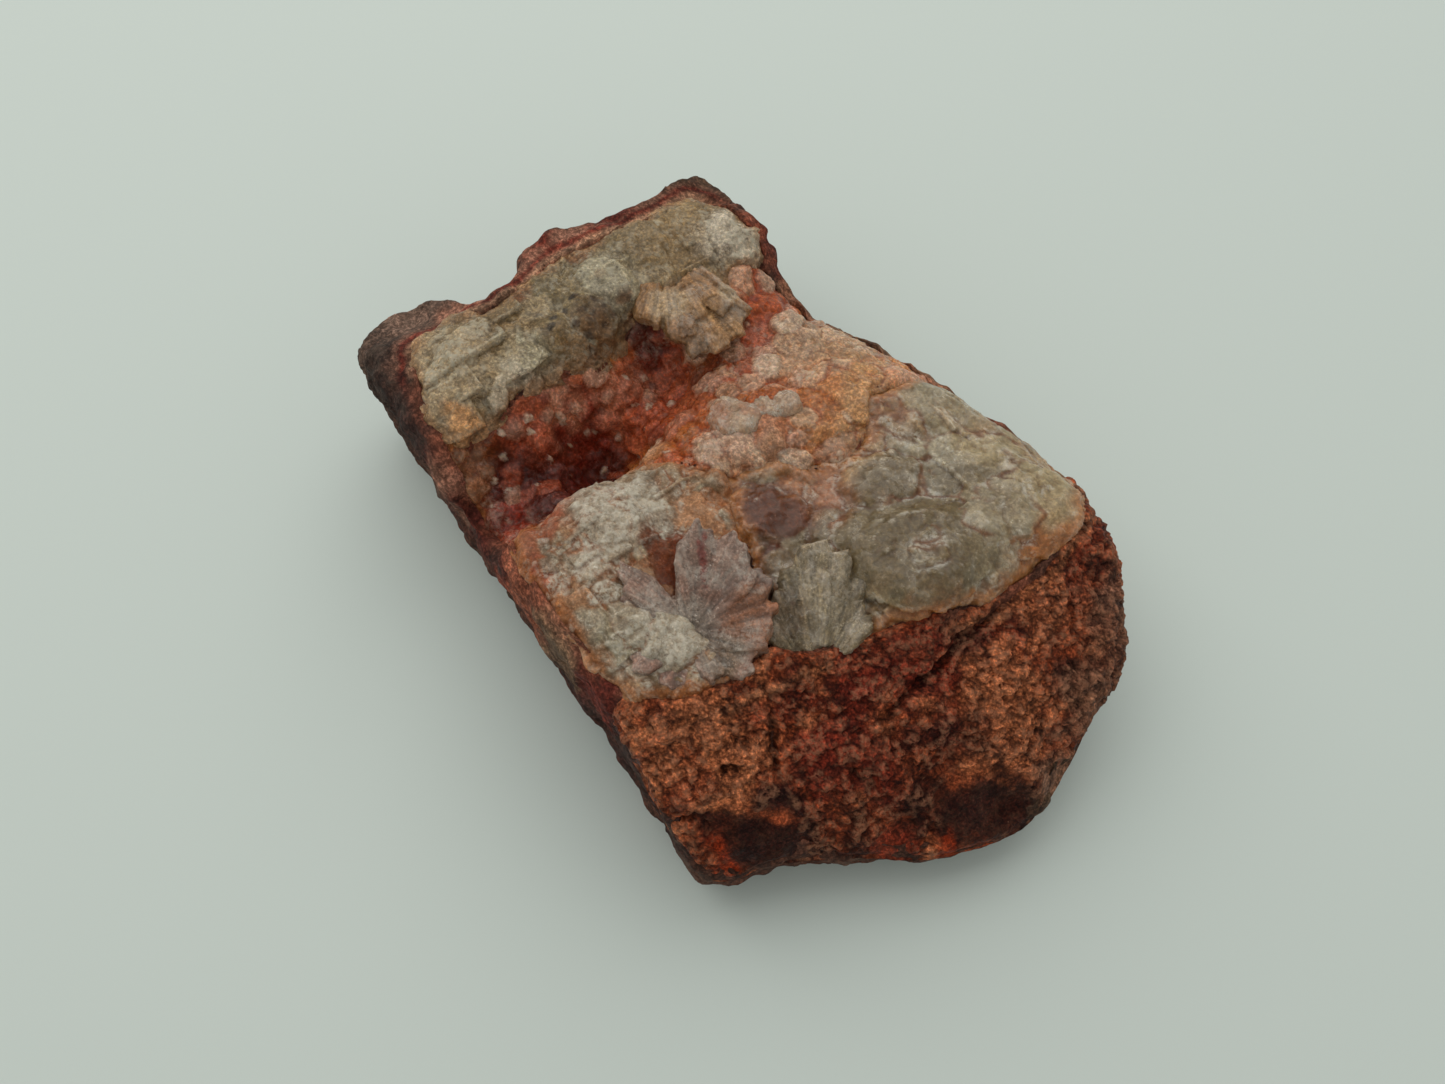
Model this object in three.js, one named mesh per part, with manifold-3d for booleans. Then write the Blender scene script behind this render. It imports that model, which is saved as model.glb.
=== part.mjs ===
// A broken half of a crystal geode: a weathered lump of iron-red host rock whose broken top shows a thick
// pale crystal wall, a red hollow lined with small druse, a frosted mound, a bed of coarse smoky crystals
// and a few crystal groups that stand proud of them. Millimetres, +Z up.
// +X runs along the longest side, the straight broken side faces -Y, and the origin is the middle of the
// base.
import * as THREE from "three";
import { ConvexGeometry } from "three/addons/geometries/ConvexGeometry.js";
import { mergeVertices } from "three/addons/utils/BufferGeometryUtils.js";
import Module from "manifold-3d";

const wasm = await Module();
wasm.setup();

// ---- driving dimensions ----
const plateau = 34; // height of the broken top above the base
const seatGap = 0.3; // clearance between a crystal piece and what it grows on
const rimDrop = 2.2; // how far the worn outer edge lies below the top
const rimInset = 1.6; // and how far it is rounded in
const stationsRound = 74; // samples round the outline
const topCell = 3.7; // spacing of the relief on the broken top
const deepCell = 6; // spacing of the relief under the thick crystal beds
const bedTolerance = 0.08; // corners this close to a straight run are folded away
const groupTolerance = 0.03; // and on the small standing groups
const slabSize = new THREE.Vector2(134, 96);

// ---- outline of the lump, seen from above, counter-clockwise ----
// Each row: x and y of the upper edge, how far the wall bulges out below it, how far the foot is tucked in.
const outline = [
  [62, 2.5, 0.6, 9], [59.8, 10.5, 0.6, 8], [56.4, 18.5, 0.6, 7], [53.6, 25.6, 0.8, 7],
  [46.8, 31.6, 0.8, 7], [40, 37.4, 0.8, 7], [31, 40.8, 0.8, 6], [22.5, 41, 0.8, 5], [13.5, 40, 1.2, 5],
  [5.5, 38, 1.2, 4], [-3, 36.2, 1.4, 4], [-9.5, 33.6, 1.5, 4], [-15, 31.2, 1.5, 4], [-22, 29, 1.5, 4],
  [-27, 27, 1.5, 4], [-31, 27.6, 1.5, 5], [-35, 28.6, 1.2, 6], [-42, 27.8, 1.2, 6], [-49, 28.4, 1, 8],
  [-53.6, 27, 1, 8], [-53.4, 20.5, 1.5, 7], [-52.4, 13, 1.5, 6], [-54.2, 5, 1.5, 6], [-56, -1.5, 1.5, 7],
  [-55.2, -7.5, 1.4, 7], [-53.8, -12, 1.2, 6], [-56.4, -16.6, 1, 7], [-60.4, -21.5, 0.8, 8],
  [-61.8, -28.5, 0.6, 9], [-61.4, -36, 0.6, 8], [-54, -37.5, 0.8, 5], [-45, -38, 0.8, 3],
  [-35, -38.6, 0.6, 3], [-23, -39, 0.6, 3], [-13, -39.4, 0.6, 3], [-3, -40, 0.4, 3], [8, -39.8, 0.6, 3],
  [19, -39.8, 0.8, 3], [29.5, -40.8, 0.8, 4], [37, -41, 0.8, 6], [41.2, -38.8, 0.5, 7],
  [43.2, -33.2, 0.4, 8], [46, -27.4, 0.4, 8], [51.4, -19.6, 0.4, 9], [56.8, -12, 0.4, 9],
  [60.2, -4.6, 0.4, 9],
];

// The wall in rings up from the base: share of the rim's height, share of the bulge, share of the tuck.
const wallRings = [[0, 0, 1], [0.16, 0.4, 0.42], [0.42, 1, 0.1], [0.74, 0.9, 0], [1, 0, 0]];

// ---- relief of the broken top ----
// Each landform is a bump (rise over 0) or a hollow (rise under 0) that runs between two points: at full
// strength within its radius, fading out over its edge.
const landforms = [
  { name: "hollow", from: [-21.6, -43], to: [-21.8, -16], radius: 4.8, edge: 5.2, rise: -13 },
  { name: "hollow head", from: [-22, -15], to: [-24, -2], radius: 3.6, edge: 5, rise: -9 },
  { name: "pocket under the ledge", from: [-29, -1], to: [-27, 1], radius: 2.4, edge: 3, rise: -6 },
  { name: "lip of the hollow", from: [-25.4, -39.6], to: [-18, -40], radius: 1.2, edge: 3, rise: 4 },
  { name: "shelf under the ledge", from: [-29, 6], to: [-22, 11], radius: 2.5, edge: 4, rise: -3 },
  { name: "red ramp", from: [-15, -10], to: [-17, 6], radius: 3, edge: 4.5, rise: -3.6 },
  { name: "orange saddle", from: [-12, 16], to: [-26, 23], radius: 4, edge: 7, rise: -3.2 },
  { name: "far edge", from: [-22, 36], to: [36, 50], radius: 5, edge: 13, rise: -11 },
  { name: "frosted mound", from: [-8, -29], to: [4, -31], radius: 4.5, edge: 6, rise: 2.6 },
  { name: "rosette foot", from: [14, -28], to: [17, -24], radius: 3.5, edge: 5, rise: 1.2 },
  { name: "smoky dome", from: [27, 7], to: [26, 22], radius: 4.5, edge: 5, rise: 1.6 },
  { name: "orange ridge", from: [-6, 2], to: [-2, 16], radius: 3, edge: 6, rise: 1.4 },
  { name: "pale wall crest", from: [-43, -27], to: [-41, 10], radius: 3.5, edge: 7, rise: 1.6 },
  { name: "low corner", from: [-64, -37], to: [-60, -24], radius: 2.5, edge: 10, rise: -6 },
  { name: "north tip", from: [-54, 27], to: [-46, 27], radius: 2, edge: 7, rise: -3 },
  { name: "lower front edge", from: [24, -43], to: [42, -42], radius: 4, edge: 9, rise: -3 },
  { name: "crevice across the slope", from: [37.5, 22], to: [38, -10], radius: 0.6, edge: 2.6, rise: -1.8 },
  { name: "crevice down the slope", from: [28, -19], to: [36, -27], radius: 0.6, edge: 2.4, rise: -1.6 },
];

// Where the granular slope starts, as x of its crest at each y, and how far it has dropped past the crest.
const slopeCrest = [
  [-44, 20], [-34, 21.5], [-24, 25], [-14, 28], [-6, 31], [4, 35], [14, 37], [24, 37], [34, 33],
  [44, 28],
];
const slopeDrop = [[0, 0], [2.5, 2], [6, 4.4], [11, 7.4], [17, 13], [22, 18.4], [26, 22], [40, 25]];

// ---- crystal beds ----
// Each bed has an outline, a depth into the rock, blocks placed by hand and a seeded scatter of small ones.
// A block: x, y, width, breadth, how far it stands out, and its turn about z in degrees.
const beds = {
  pale_band: {
    depth: 8, floorCell: deepCell, color: "#b3ab98", roughness: 0.45,
    edge: [
      [-49.4, -29.4], [-49.8, -23], [-46.4, -17.4], [-48, -10], [-49.2, -3], [-47.6, 5], [-47, 13],
      [-48, 21], [-42, 24.4], [-34, 25.6], [-31, 23.8], [-32, 18.6], [-29, 15.4], [-33.6, 7], [-34, 1],
      [-31.6, -4.2], [-30.4, -9], [-32.4, -15], [-33.2, -21.4], [-31.8, -26.6], [-31.4, -33],
      [-34, -35.6], [-39, -35], [-45, -32.6],
    ],
    blocks: [
      [-36, -31.5, 8, 7, 1.4, 20], [-43.5, -27, 9, 8, 0.8, 5], [-36.5, -24, 7, 8, 1, 40],
      [-42, -18.5, 8, 8, 0.9, 12], [-36, -14.5, 7, 6.5, 1.3, 30], [-43, -8.5, 9, 7, 0.8, 0],
      [-35, -6.5, 6.5, 7, 1.1, 15], [-40.5, -0.5, 8, 7, 1.1, 48], [-43, 8, 7, 8, 1, 25],
      [-41.5, 17, 9, 8, 1, 8], [-36.5, 22, 8, 6, 1.6, 35],
    ],
    scatter: { seed: 11, spacing: 6.4, width: [3, 4.4], height: [0.7, 1.3] },
  },
  druse_lining: {
    depth: 4, floorCell: topCell, color: "#9a4a36", roughness: 0.35,
    edge: [
      [-34, -35.6], [-31.4, -33], [-31.8, -26.6], [-33.2, -21.4], [-32.4, -15], [-30.4, -9],
      [-31.6, -4.2], [-34, 1], [-33.6, 7], [-29, 15.4], [-32, 18.6], [-31, 23.8], [-27.6, 24], [-21, 26],
      [-14, 28.4], [-8, 31], [1, 34], [1.6, 27], [-1, 20], [5.4, 14], [6.5, 10], [4.6, 5.4], [1, 1],
      [-3, -6], [-9, -10], [-14, -14.5], [-16, -22], [-14, -28], [-12.4, -33.4], [-12.6, -36.4],
      [-23, -35.8],
    ],
    blocks: [
      [-1.4, 7.6, 4.6, 4, 1.4, 30], [-14.6, 4.4, 4, 3.6, 1.2, 10], [-18, 21.4, 7, 6.4, 2.2, 20],
      [-16.6, 28, 6, 4.6, 1.4, 5], [-11.6, 13.6, 5.6, 5, 1.6, 40], [-3.4, 26.4, 8, 6, 1, 15],
      [-9, 22, 6, 5, 1.4, 50], [-25, 19, 5, 4, 1.4, 25], [-14.3, -14.4, 4.6, 4, 1.6, 0],
    ],
    scatter: { seed: 5, spacing: 6, width: [3.4, 5], height: [1.1, 1.9] },
  },
  frosted_mound: {
    depth: 6, floorCell: deepCell, color: "#c9bcae", roughness: 0.5,
    edge: [
      [-12.6, -36.4], [-12.4, -33.4], [-14, -28], [-16, -22], [-14, -14.5], [-9, -10], [-3, -6],
      [3, -7.6], [9, -10], [16, -13], [22.5, -16.5], [23.4, -24], [21, -31], [16, -36.6], [8, -37.4],
      [-3, -37.6],
    ],
    blocks: [
      [-6, -24, 7, 6, 1.6, 20], [0.5, -31, 8, 6.5, 1.2, 44], [1.2, -12.8, 6.4, 5.4, 1.6, 10],
      [-9.6, -15.6, 5, 4.6, 1.4, 30], [16, -35, 3.4, 3, 2, 15], [8.6, -35, 5, 4, 1.2, 35],
    ],
    scatter: { seed: 8, spacing: 6, width: [3.2, 4.6], height: [0.9, 1.6] },
  },
  smoky_bed: {
    depth: 7, floorCell: deepCell, color: "#a39a8b", roughness: 0.4,
    edge: [
      [-3, -6], [1, 1], [4.6, 5.4], [6.5, 10], [5.4, 14], [-1, 20], [1.6, 27], [1, 34], [7, 35.4],
      [14, 37.4], [23, 38.6], [30.4, 37], [34.4, 30], [36, 22], [35.4, 12], [32, 3], [28.8, -6],
      [26.6, -13], [22.5, -16.5], [16, -13], [9, -10], [3, -7.6],
    ],
    blocks: [
      [25.8, 7.4, 13.4, 11.4, 3.2, 24], [13.6, 11.4, 6.4, 7.4, 2.6, 50], [18, 17.4, 8, 6.4, 2.2, 12],
      [26.6, 22.6, 7.4, 6, 3, 8], [29.6, 16.6, 6.6, 7.6, 2.2, 35], [29, 28.6, 9, 6.4, 1.8, 20],
      [9.4, 24.6, 9, 11, 2, 28], [17, 29, 8, 8, 1.6, 0], [16.8, 2.6, 7.4, 6.6, 2.2, 42],
      [8.2, -3.4, 6.6, 5.4, 1.8, 55], [22.6, 1.2, 4, 3.8, 2.4, 10], [10.4, 4.4, 5, 4.4, 1.4, 30],
      [20, 35, 8, 5, 1, 5],
    ],
    scatter: { seed: 3, spacing: 6, width: [3.4, 5], height: [1, 1.8] },
  },
};

// ---- crystal groups that stand on the beds: a root point, and the blades that fan out of it ----
// A blade: heading and pitch in degrees, length, width at the root and near the tip, thickness.
// Small crystals stay out of each group's keepClear circles: x, y, radius.
const bladeGroups = {
  blade_rosette: {
    root: [15.2, -24.4, 35.8], color: "#c6b3ad", roughness: 0.3, keepClear: [[12, -21.5, 11]],
    blades: [
      [144, 21, 13.6, 5, 7, 1.6], [124, 24, 15, 5, 8.4, 1.5], [105, 21, 14.2, 5, 6.4, 1.6],
      [76, 25, 12.4, 5, 7, 1.5], [53, 18, 11, 5, 7.4, 1.6], [28, 12, 8.4, 5, 6, 1.5],
      [-172, 20, 13, 4, 5.4, 1.6], [-139, 15, 10.8, 5, 7.4, 1.6], [-94, 10, 9, 5, 7, 1.5],
      [-44, 6, 7.4, 5, 7, 1.5],
    ],
  },
  blade_sheaf: {
    root: [26.6, -12.2, 33.6], color: "#aba792", roughness: 0.3, keepClear: [[21.5, -7.5, 8]],
    blades: [
      [145, 22, 16.4, 5, 6.4, 2.2], [131, 25, 15, 4, 5.6, 2], [163, 28, 9.4, 4, 5.4, 1.6],
      [112, 22, 8.4, 4, 5, 1.8], [-170, 24, 6.4, 4, 4.4, 1.4],
    ],
  },
  ledge_blades: {
    root: [-35.6, 9.4, 35], color: "#b5a387", roughness: 0.35, keepClear: [[-30, 8, 8]],
    blades: [
      [-44, -6, 11, 7, 8, 2.6], [-22, -7, 15.6, 7, 9, 2.5], [-4, -7, 16.2, 6, 7.4, 2.3],
      [13, -5, 15.6, 5, 6, 2.1], [28, 0, 13.6, 4, 3.6, 1.6],
    ],
  },
};

// A group of stout clear blocks on the orange ridge, each given as a bed's block is.
const clearCluster = {
  color: "#cdb9ae", roughness: 0.25, keepClear: [[-9.2, 1.2, 5], [-6.6, 7, 4.6]],
  blocks: [[-9.2, 1.2, 6.6, 6, 3.4, 20], [-7.6, 5.4, 4.6, 4, 2.4, 48], [-6, 8.6, 3.8, 3.6, 2.8, 8]],
};

// ---- small helpers ----
const radians = THREE.MathUtils.degToRad;

const smooth = (t) => {
  const u = Math.min(Math.max(t, 0), 1);
  return u * u * (3 - 2 * u);
};

// A repeatable stream of numbers from 0 to 1.
function randomStream(seed) {
  let state = seed;
  return () => {
    state = (state * 1103515245 + 12345) % 2147483648;
    return state / 2147483648;
  };
}

// y at x along a list of [x, y] points
function along(points, x) {
  let i = 1;
  while (i < points.length - 1 && points[i][0] < x) i++;
  const [x0, y0] = points[i - 1];
  const [x1, y1] = points[i];
  return y0 + (y1 - y0) * Math.min(Math.max((x - x0) / (x1 - x0), 0), 1);
}

function distanceToSegment(x, y, [ax, ay], [bx, by]) {
  const t = ((x - ax) * (bx - ax) + (y - ay) * (by - ay)) / ((bx - ax) ** 2 + (by - ay) ** 2);
  const u = Math.min(Math.max(t, 0), 1);
  return Math.hypot(x - ax - u * (bx - ax), y - ay - u * (by - ay));
}

// How deep inside a closed outline a point lies, negative outside it.
function depthInside(x, y, edge) {
  let inside = false;
  let nearest = Infinity;
  edge.forEach((a, i) => {
    const b = edge[(i + 1) % edge.length];
    nearest = Math.min(nearest, distanceToSegment(x, y, a, b));
    const crosses = a[1] > y !== b[1] > y && x < a[0] + ((y - a[1]) / (b[1] - a[1])) * (b[0] - a[0]);
    if (crosses) inside = !inside;
  });
  return inside ? nearest : -nearest;
}

// Low uneven swells, so that no broken face is a smooth sheet.
const swell = (x, y) =>
  0.4 * Math.sin(0.41 * x + 0.23 * y + Math.sin(0.31 * y)) +
  0.35 * Math.sin(0.62 * y - 0.37 * x + Math.sin(0.47 * x)) +
  0.3 * Math.sin(1.7 * x + 2.3 * Math.sin(1.3 * y));

// Height of the broken top at a point.
function topHeight(x, y) {
  let z = plateau + swell(x, y) - along(slopeDrop, x - along(slopeCrest, y));
  for (const { from, to, radius, edge, rise } of landforms)
    z += rise * (1 - smooth((distanceToSegment(x, y, from, to) - radius) / edge));
  return z;
}

// How many times longer than the level distance the way down the slope is, kept within bounds.
function steepness(x, y) {
  const step = 0.8;
  const slopeX = (topHeight(x + step, y) - topHeight(x - step, y)) / (2 * step);
  const slopeY = (topHeight(x, y + step) - topHeight(x, y - step)) / (2 * step);
  return Math.min(Math.hypot(1, slopeX, slopeY), 4);
}

// A closed triangle mesh as a solid; triangles that shrink to a line at a pole are dropped.
function solidOf(geometry) {
  const bare = new THREE.BufferGeometry().setAttribute("position", geometry.getAttribute("position"));
  bare.setIndex(geometry.index);
  const merged = mergeVertices(bare, 1e-4);
  const corners = merged.index.array;
  const triVerts = [];
  for (let i = 0; i < corners.length; i += 3) {
    const [a, b, c] = [corners[i], corners[i + 1], corners[i + 2]];
    if (a !== b && b !== c && c !== a) triVerts.push(a, b, c);
  }
  return new wasm.Manifold(new wasm.Mesh({
    numProp: 3,
    vertProperties: merged.attributes.position.array,
    triVerts: new Uint32Array(triVerts),
  }));
}

function meshOf(name, solid, { color, roughness }) {
  const { vertProperties, triVerts } = solid.getMesh();
  const geometry = new THREE.BufferGeometry();
  geometry.setAttribute("position", new THREE.BufferAttribute(new Float32Array(vertProperties), 3));
  geometry.setIndex(new THREE.BufferAttribute(new Uint32Array(triVerts), 1));
  const mesh = new THREE.Mesh(geometry, new THREE.MeshStandardMaterial({ color, roughness, metalness: 0 }));
  mesh.name = name;
  return mesh;
}

const joined = (solids) => solids.reduce((sum, solid) => sum.add(solid));
const largestOf = (solid) => solid.decompose().sort((a, b) => b.volume() - a.volume())[0];
const tidied = (solid, tolerance) => largestOf(largestOf(solid).asOriginal().simplify(tolerance));

// ---- the lump ----
// Everything under the broken top's relief, lowered by depth and then moved square to itself by lift.
function underTop(cell, depth, lift) {
  const slab = new THREE.BoxGeometry(
    slabSize.x, slabSize.y, 2, Math.round(slabSize.x / cell), Math.round(slabSize.y / cell), 1);
  const points = slab.attributes.position;
  for (let i = 0; i < points.count; i++) {
    const [gridX, gridY] = [points.getX(i), points.getY(i)];
    const shift = Math.abs(gridX) < 66 && Math.abs(gridY) < 47 ? cell * 0.3 : 0;
    const x = gridX + shift * Math.sin(4.1 * gridX + 7.3 * gridY);
    const y = gridY + shift * Math.sin(6.7 * gridX - 3.9 * gridY);
    points.setXYZ(i, x, y, points.getZ(i) < 0 ? -40 : topHeight(x, y) - depth + lift * steepness(x, y));
  }
  return solidOf(slab);
}

// The outer wall, from the flat base up past the broken top. It leans in above the rim, so the edge is worn.
function wallSolid() {
  const rimCurve = new THREE.CatmullRomCurve3(outline.map(([x, y]) => new THREE.Vector3(x, y, 0)), true);
  const wallCurve = new THREE.CatmullRomCurve3(
    outline.map(([, , bulge, tuck]) => new THREE.Vector3(bulge, tuck, 0)), true);
  const stations = [];
  for (let i = 0; i < stationsRound; i++) {
    const rim = rimCurve.getPoint(i / stationsRound);
    const outward = rim.clone().normalize();
    const { x: bulge, y: tuck } = wallCurve.getPoint(i / stationsRound);
    stations.push({ rim, outward, bulge, tuck, height: topHeight(rim.x, rim.y) - rimDrop });
  }
  const positions = [];
  for (const [heightShare, bulgeShare, tuckShare] of wallRings)
    stations.forEach(({ rim, outward, bulge, tuck, height }, i) => {
      const knock = 0.5 * bulgeShare * Math.sin(i * 1.9 + heightShare * 7);
      const out = bulge * bulgeShare - tuck * tuckShare + Math.min(knock, 0);
      positions.push(rim.x + outward.x * out, rim.y + outward.y * out, height * heightShare);
    });
  for (const [rise, inset] of [[rimDrop, rimInset], [rimDrop + 14, rimInset + 3]])
    for (const { rim, outward, height } of stations)
      positions.push(rim.x - outward.x * inset, rim.y - outward.y * inset, height + rise);

  const rings = wallRings.length + 2;
  const baseMiddle = rings * stationsRound;
  const topMiddle = baseMiddle + 1;
  positions.push(0, 0, 0, 0, 0, plateau + 30);
  const triangles = [];
  for (let i = 0; i < stationsRound; i++) {
    const next = (i + 1) % stationsRound;
    triangles.push(baseMiddle, next, i);
    for (let ring = 0; ring < rings - 1; ring++) {
      const low = ring * stationsRound;
      const high = low + stationsRound;
      triangles.push(low + i, low + next, high + next);
      triangles.push(low + i, high + next, high + i);
    }
    const last = (rings - 1) * stationsRound;
    triangles.push(last + i, last + next, topMiddle);
  }
  const geometry = new THREE.BufferGeometry();
  geometry.setAttribute("position", new THREE.Float32BufferAttribute(positions, 3));
  geometry.setIndex(triangles);
  return solidOf(geometry);
}

// An outline moved inwards (offset under 0) or outwards, as an upright prism.
function prismSolid(edge, offset) {
  const side = Math.sign(THREE.ShapeUtils.area(edge.map(([x, y]) => new THREE.Vector2(x, y)))) * offset;
  const moved = edge.map(([x, y], i) => {
    const [px, py] = edge[(i + edge.length - 1) % edge.length];
    const [nx, ny] = edge[(i + 1) % edge.length];
    const before = new THREE.Vector2(y - py, px - x).normalize();
    const after = new THREE.Vector2(ny - y, x - nx).normalize();
    const corner = before.clone().add(after).multiplyScalar(side / Math.max(1 + before.dot(after), 0.4));
    return new THREE.Vector2(x + corner.x, y + corner.y);
  });
  return solidOf(new THREE.ExtrudeGeometry(new THREE.Shape(moved), { depth: 70, bevelEnabled: false }));
}

// ---- crystals ----
// A stout crystal with five or six uneven sides and a bevelled, slightly tilted top. Its foot reaches down
// into what it grows on. A plain one has no bevel.
function crystalSolid([x, y, width, breadth, standOut, turn], random, plain = false) {
  const sides = plain ? 5 : 6;
  const stout = [[0.48, -3.4], [0.5, standOut * 0.4], [0.33, standOut]];
  const rings = plain ? [[0.46, -3.2], [0.34, standOut]] : stout;
  const uneven = Array.from({ length: sides }, (_, i) => [0.9 + 0.26 * random(), i + 0.5 * random()]);
  const tilt = 0.3 * (random() - 0.5);
  const corners = rings.flatMap(([radius, z]) => uneven.map(([share, step]) => {
    const angle = (step / sides) * 2 * Math.PI + radians(turn);
    const out = radius * share;
    const rise = z + width * out * tilt * Math.cos(angle);
    return new THREE.Vector3(width * out * Math.cos(angle), breadth * out * Math.sin(angle), rise);
  }));
  return solidOf(new ConvexGeometry(corners).translate(x, y, topHeight(x, y)));
}

// A flat crystal that widens from its root to a blunt, faceted tip.
function bladeSolid([x, y, z], [heading, pitch, length, rootWidth, tipWidth, thickness]) {
  const bladeOutline = [
    [0, -rootWidth / 2], [length * 0.74, -tipWidth / 2], [length * 0.93, -tipWidth * 0.36],
    [length, tipWidth * 0.06], [length * 0.9, tipWidth * 0.42], [length * 0.68, tipWidth / 2],
    [0, rootWidth / 2],
  ];
  const shape = new THREE.Shape(bladeOutline.map(([a, b]) => new THREE.Vector2(a, b)));
  const geometry = new THREE.ExtrudeGeometry(shape, { depth: thickness, bevelEnabled: false });
  geometry.translate(0, 0, -thickness / 2);
  geometry.rotateY(-radians(pitch));
  geometry.rotateZ(radians(heading));
  geometry.translate(x, y, z);
  return solidOf(geometry);
}

// Places kept free of scattered crystals: where a group stands, and where a block was placed by hand.
const groupSpots = [...Object.values(bladeGroups), clearCluster].flatMap(({ keepClear }) => keepClear);

// A bed's crystals: those placed by hand, then small ones on a loose grid between them.
function crystalsOn({ edge, blocks, scatter }) {
  const random = randomStream(scatter.seed);
  const spots = [...groupSpots, ...blocks.map(([x, y, width]) => [x, y, width * 0.72])];
  const between = ([low, high]) => low + (high - low) * random();
  const solids = blocks.map((block) => crystalSolid(block, random));
  for (let row = 0, y = -42; y < 42; y += scatter.spacing * 0.86, row++)
    for (let x = -64 + (row % 2) * scatter.spacing * 0.5; x < 64; x += scatter.spacing) {
      const [px, py] = [x + (random() - 0.5) * 2, y + (random() - 0.5) * 2];
      const width = between(scatter.width);
      const breadth = width * (0.75 + 0.3 * random());
      const crystal = [px, py, width, breadth, between(scatter.height), 60 * random()];
      const clear = spots.every(([sx, sy, radius]) => Math.hypot(px - sx, py - sy) > radius);
      if (clear && depthInside(px, py, edge) > width * 0.5) solids.push(crystalSolid(crystal, random, true));
    }
  return solids;
}

// ---- assembly ----
const wall = wallSolid();
const lump = wall.intersect(underTop(topCell, 0, 0));
const geode = new THREE.Group();

let host = lump;
const bedMeshes = [];
const grownBeds = [];
for (const [name, bed] of Object.entries(beds)) {
  const column = prismSolid(bed.edge, -seatGap / 2).subtract(underTop(bed.floorCell, bed.depth, 0));
  const grown = tidied(joined([lump, ...crystalsOn(bed)]).intersect(column), bedTolerance);
  grownBeds.push(grown);
  bedMeshes.push(meshOf(name, grown, bed));
  const socketFloor = underTop(bed.floorCell, bed.depth, -1.4 * seatGap);
  host = host.subtract(prismSolid(bed.edge, seatGap / 2).subtract(socketFloor));
}
geode.add(meshOf("host_rock", tidied(host, bedTolerance), { color: "#7a3f31", roughness: 0.9 }), ...bedMeshes);

// What a standing group keeps clear of: the lump and every bed, moved a little each way.
const corners = [[1, 1], [-1, 1], [1, -1], [-1, -1]];
const ways = [[0, 0, 1], ...corners.flatMap(([x, y]) => [[x, y, 0], [x, y, 1]])];
const seats = joined([
  wall.intersect(underTop(topCell, 0, seatGap)),
  ...grownBeds.flatMap((bed) => ways.map((way) => bed.translate(way.map((step) => step * seatGap)))),
]);
for (const [name, group] of Object.entries(bladeGroups)) {
  const blades = joined(group.blades.map((blade) => bladeSolid(group.root, blade)));
  geode.add(meshOf(name, tidied(blades.subtract(seats), groupTolerance), group));
}
const clearRandom = randomStream(21);
const clearBlocks = joined(clearCluster.blocks.map((block) => crystalSolid(block, clearRandom)));
geode.add(meshOf("clear_cluster", tidied(clearBlocks.subtract(seats), groupTolerance), clearCluster));

export default geode;
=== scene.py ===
import math
import bpy
import numpy as np
from mathutils import Matrix, Vector
from mathutils.bvhtree import BVHTree
from mathutils.kdtree import KDTree


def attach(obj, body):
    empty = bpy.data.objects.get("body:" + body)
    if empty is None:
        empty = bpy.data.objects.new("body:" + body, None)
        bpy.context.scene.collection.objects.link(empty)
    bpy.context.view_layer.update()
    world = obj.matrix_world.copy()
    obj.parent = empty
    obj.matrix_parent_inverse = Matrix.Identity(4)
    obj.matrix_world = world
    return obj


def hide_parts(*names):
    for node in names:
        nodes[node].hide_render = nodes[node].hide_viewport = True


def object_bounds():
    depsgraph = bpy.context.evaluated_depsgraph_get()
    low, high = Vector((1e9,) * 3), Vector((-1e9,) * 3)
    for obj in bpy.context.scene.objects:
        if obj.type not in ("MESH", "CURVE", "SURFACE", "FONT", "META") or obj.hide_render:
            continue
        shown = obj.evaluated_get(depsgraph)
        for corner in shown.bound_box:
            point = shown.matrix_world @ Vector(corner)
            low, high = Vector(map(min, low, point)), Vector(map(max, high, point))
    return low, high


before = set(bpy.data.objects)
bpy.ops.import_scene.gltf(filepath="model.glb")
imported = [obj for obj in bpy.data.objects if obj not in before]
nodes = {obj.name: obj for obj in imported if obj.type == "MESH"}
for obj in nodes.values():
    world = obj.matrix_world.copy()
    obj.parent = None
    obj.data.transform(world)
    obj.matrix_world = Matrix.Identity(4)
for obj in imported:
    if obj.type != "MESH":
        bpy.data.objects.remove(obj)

mm = 0.001
anyTurn = 6.3  # a full turn in radians, for random headings
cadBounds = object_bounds()
cadLow, cadHigh = (np.array(corner) / mm for corner in cadBounds)
# Turned noise doesn't show its own grid.
twist = np.array(Matrix.Rotation(0.9, 3, Vector((1, 2, 3)).normalized()))
mixers = [np.uint32(n) for n in (374761393, 668265263, 1442695041, 1274126177, 2246822519)]
saltStep, wholeRange = 974711, 2 ** 32  # for the hash below


def linearColour(hexText):
    shares = [int(hexText[i:i + 2], 16) / 255 for i in (1, 3, 5)]
    return np.array([s / 12.92 if s <= 0.04045 else ((s + 0.055) / 1.055) ** 2.4 for s in shares])


def fade(t):  # 0 to 1 with soft ends
    u = np.clip(t, 0, 1)
    return u * u * (3 - 2 * u)


def hashed(cell, salt):  # a repeatable number from 0 to 1 for each whole-numbered cell
    x, y, z = cell.astype(np.int64).astype(np.uint32).T
    mix = x * mixers[0] + y * mixers[1] + z * mixers[2] + np.uint32(salt * saltStep % wholeRange)
    mix = (mix ^ (mix >> np.uint32(13))) * mixers[3]
    mix = (mix ^ (mix >> np.uint32(16))) * mixers[4]
    return (mix ^ (mix >> np.uint32(15))).astype(np.float64) / (wholeRange - 1)


def swell(points, size, salt):  # smooth noise from -1 to 1
    at = (points @ twist) / size
    base = np.floor(at)
    t = fade(at - base)
    total = np.zeros(len(points))
    for corner in np.ndindex(2, 2, 2):
        share = np.prod(np.where(corner, t, 1 - t), axis=1)
        total += share * hashed(base + corner, salt)
    return 2 * total - 1


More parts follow.
